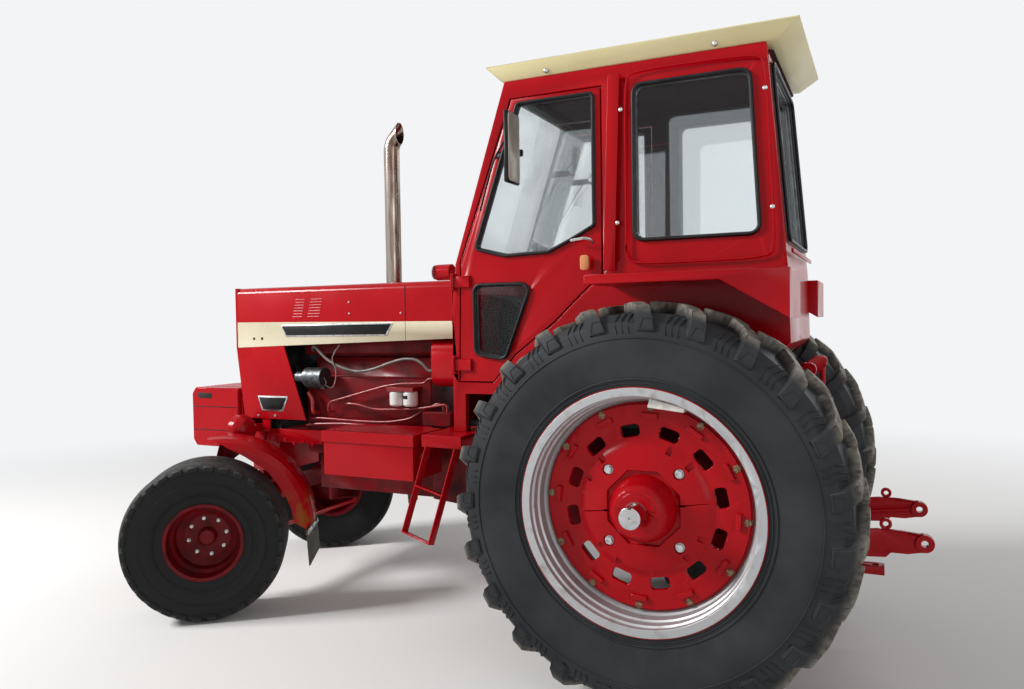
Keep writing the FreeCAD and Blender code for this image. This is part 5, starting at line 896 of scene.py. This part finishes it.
# Columns: pane's node, way it faces, name, body
for node, toward, name, body in (
    ("cab_glass", (0, 1, 0), "side_left", "chassis"), ("cab_glass", (0, -1, 0), "side_right", "chassis"),
    ("cab_glass", FRONT_PANE, "front", "chassis"), ("cab_glass", REAR_PANE, "rear", "chassis"),
    ("door_glass_left", (0, 1, 0), "door_left", "door_left"),
    ("door_glass_right", (0, -1, 0), "door_right", "door_right"),
):
    mount(edge_cord(node, toward, 0.015, 0.030, f"seal_{name}"), black_rubber, body)
    mount(edge_cord(node, toward, 0.021, 0.014, f"seal_root_{name}"), black_rubber, body)
    mount(edge_cord(node, toward, 0.025, 0.002, f"seal_bead_{name}"), filler, body)

# Door furniture: a bent lever, a side lamp in pale orange below it, and a mirror in a black case whose glass
# looks back along the machine, on a thin stay.

lever = rib_along("door_lever", [(-0.655, 0.508, 2.036), (-0.700, 0.520, 2.040), (-0.740, 0.520, 2.042),
                                 (-0.762, 0.508, 2.030), (-0.764, 0.492, 2.018)], 0.014)
both_sides(lever, "door_lever", zinc, "door")

amber, tree, place = new_material("pale_orange_lens")
ribs = add(tree, "TexWave", {"Scale": 1000 / 8 / 2, "bands_direction": "Z"}, {"Vector": place})
tone = add(tree, "ValToRGB", {"ramp": ((0.3, "E0A070"), (0.7, "D0703A"))}, {"Fac": ribs})
skin = add(tree, "Bump", {"Strength": 0.4, "Distance": 0.001}, {"Height": ribs})
# Ribbed plastic lens, bleached by the sun
finish_surface(tree, {"Roughness": 0.2}, {"Base Color": tone, "Normal": skin})
lens = plate("side_lamp", [(x, CAB_SIDE, z) for x, z in (
    (-0.703, 1.962), (-0.745, 1.962), (-0.745, 1.892), (-0.703, 1.892))], 0.026, 0.012)
both_sides(lens, "side_lamp", amber, "door")

mirror_silver, tree, place = new_material("silvered_mirror")
dust = add(tree, "TexNoise", {"Scale": 1000 / 80, "Detail": 3.0}, {"Vector": place})
tone = add(tree, "ValToRGB", {"ramp": ((0.4, "BDB9AE"), (0.75, "A9A498"))}, {"Fac": dust})
# Silvered glass with a film of dust
finish_surface(tree, {"Metallic": 0.35, "Roughness": 0.12}, {"Base Color": tone})
for side in ("left", "right"):
    refinish(f"mirror_{side}", 0.008, soft_black, 3)
face = plate("mirror_face", [(-0.4172, y, z) for y, z in (
    (0.567, 2.317), (0.693, 2.317), (0.693, 2.643), (0.567, 2.643))], -0.003, 0.022, "x")
both_sides(face, "mirror_face", mirror_silver, "door")
stay = rib_along("mirror_stay", [(-0.385, 0.600, 2.560), (-0.300, 0.590, 2.480), (-0.215, 0.540, 2.300),
                                 (-0.165, 0.500, 2.215)], 0.010)
both_sides(stay, "mirror_stay", soft_black, "door")

# Lamps: domed fluted lenses in the red headlamp shells and in the work lamps on the cab's front posts. Each is
# pressed glass, held by its shell.

lamp_glass, tree, place = new_material("fluted_lamp_glass")
flutes = add(tree, "TexWave", {"Scale": 1000 / 9 / 2, "bands_direction": "Y"}, {"Vector": place})
tone = add(tree, "ValToRGB", {"ramp": ((0.3, "C8CDD0"), (0.7, "A9AFB3"))}, {"Fac": flutes})
skin = add(tree, "Bump", {"Strength": 0.5, "Distance": 0.001}, {"Height": flutes})
# Fluted glass in front of a bright reflector
finish_surface(tree, {"Metallic": 0.6, "Roughness": 0.1}, {"Base Color": tone, "Normal": skin})


def lens_dome(name, place, radius, deep):
    """A shallow glass dome that faces ahead."""
    dome = solid(bpy.ops.mesh.primitive_uv_sphere_add, name, segments=32, ring_count=16, radius=radius,
                 location=place)
    for corner in dome.data.vertices:
        height = corner.co.x - place[0]
        corner.co.x = place[0] + (height * deep / radius if height > 0 else height * 0.02)
    return soften(dome, 0, sharp=70)


both_sides(lens_dome("headlamp_lens", (1.6045, 0.385, 1.012), 0.084, 0.022), "headlamp_lens", lamp_glass)
both_sides(lens_dome("work_lamp_lens", (0.1285, 0.460, 1.916), 0.038, 0.010), "work_lamp_lens", lamp_glass)

# Driver's place: a seat with two vinyl pads on a black shell, the steering wheel, and the console with its two
# levers.

vinyl, tree, place = new_material("grained_black_vinyl")
grain = add(tree, "TexVoronoi", {"Scale": 1000 / 4}, {"Vector": place})
fade = add(tree, "TexNoise", {"Scale": 1000 / 90, "Detail": 4.0}, {"Vector": place})
tone = add(tree, "ValToRGB", {"ramp": ((0.4, "17181A"), (0.7, "27292B"))}, {"Fac": fade})
rough = add(tree, "MapRange", {"To Min": 0.38, "To Max": 0.55}, {"Value": fade})
skin = add(tree, "Bump", {"Strength": 0.25, "Distance": 0.0005}, {"Height": grain.outputs["Distance"]})
# Pebbled vinyl, shinier where it is sat on
finish_surface(tree, {}, {"Base Color": tone, "Roughness": rough, "Normal": skin})

VOXEL = 0.009
SEAM_HALF, SEAM_DEEP = 0.014, 0.008


def pad(name, centre, size, lean, swell, seams):
    """A stuffed pad: a rounded block swelled as cloth under pressure, then given its sewn channels."""
    block = solid(bpy.ops.mesh.primitive_cube_add, name, size, size=1.0)
    soften(block, min(size) * 0.35, 4)
    remesh = block.modifiers.new("remesh", "REMESH")
    remesh.mode = "VOXEL"
    remesh.voxel_size = VOXEL
    bpy.ops.object.modifier_apply(modifier="remesh")
    start = [corner.co.copy() for corner in block.data.vertices]
    cloth = block.modifiers.new("cloth", "CLOTH")
    cloth.settings.use_pressure = True
    cloth.settings.uniform_pressure_force = 4.0
    cloth.settings.effector_weights.gravity = 0.0
    for number in range(1, 21):
        scene.frame_set(number)
    bpy.ops.object.modifier_apply(modifier="cloth")
    scene.frame_set(1)
    for corner, was in zip(block.data.vertices, start):
        move = corner.co - was
        if move.length > swell:
            corner.co = was + move.normalized() * swell
    smooth = block.modifiers.new("smooth", "SMOOTH")
    smooth.iterations = 6
    bpy.ops.object.modifier_apply(modifier="smooth")
    for corner in block.data.vertices:
        for seam in seams:
            near = 1.0 - min(1.0, abs(corner.co.x - seam) / SEAM_HALF)
            if corner.co.z > 0:
                corner.co.z -= SEAM_DEEP * near * near
    block.data.transform(Matrix.Translation(centre) @ Matrix.Rotation(math.radians(lean), 4, "Y"))
    soften(block, 0, sharp=60)
    mount(block, vinyl, "chassis")


refinish("seat", 0.012, soft_black, 3)
# Columns: name, middle, size, lean in degrees, most that it swells, places of its channels
pad("seat_pad", (-1.10, 0.0, 1.535), (0.40, 0.43, 0.075), -3.0, 0.012, (-0.09, 0.03))
pad("seat_back_pad", (-1.345, 0.0, 1.785), (0.44, 0.42, 0.070), -78.0, 0.012, (-0.10, 0.04))
refinish("steering_wheel", 0.001, black_rubber)
refinish("console", 0.012, soft_black, 3)

levers = []
for y in (-0.165, 0.165):
    rod = rib_along("lever_rod", [(-0.310, y, 1.62), (-0.360, y, 1.78), (-0.370, y, 1.92)], 0.012)
    knob = solid(bpy.ops.mesh.primitive_uv_sphere_add, "lever_knob", segments=20, ring_count=12, radius=0.020,
                 location=(-0.371, y, 1.935))
    knob.data.transform(Matrix.Translation((0, 0, 1.935)) @ Matrix.Scale(1.35, 4, Vector((0, 0, 1)))
                        @ Matrix.Translation((0, 0, -1.935)))
    levers.append(join([rod, soften(knob, 0, sharp=70)], "lever"))
mount(join(levers, "console_levers"), soft_black, "chassis")
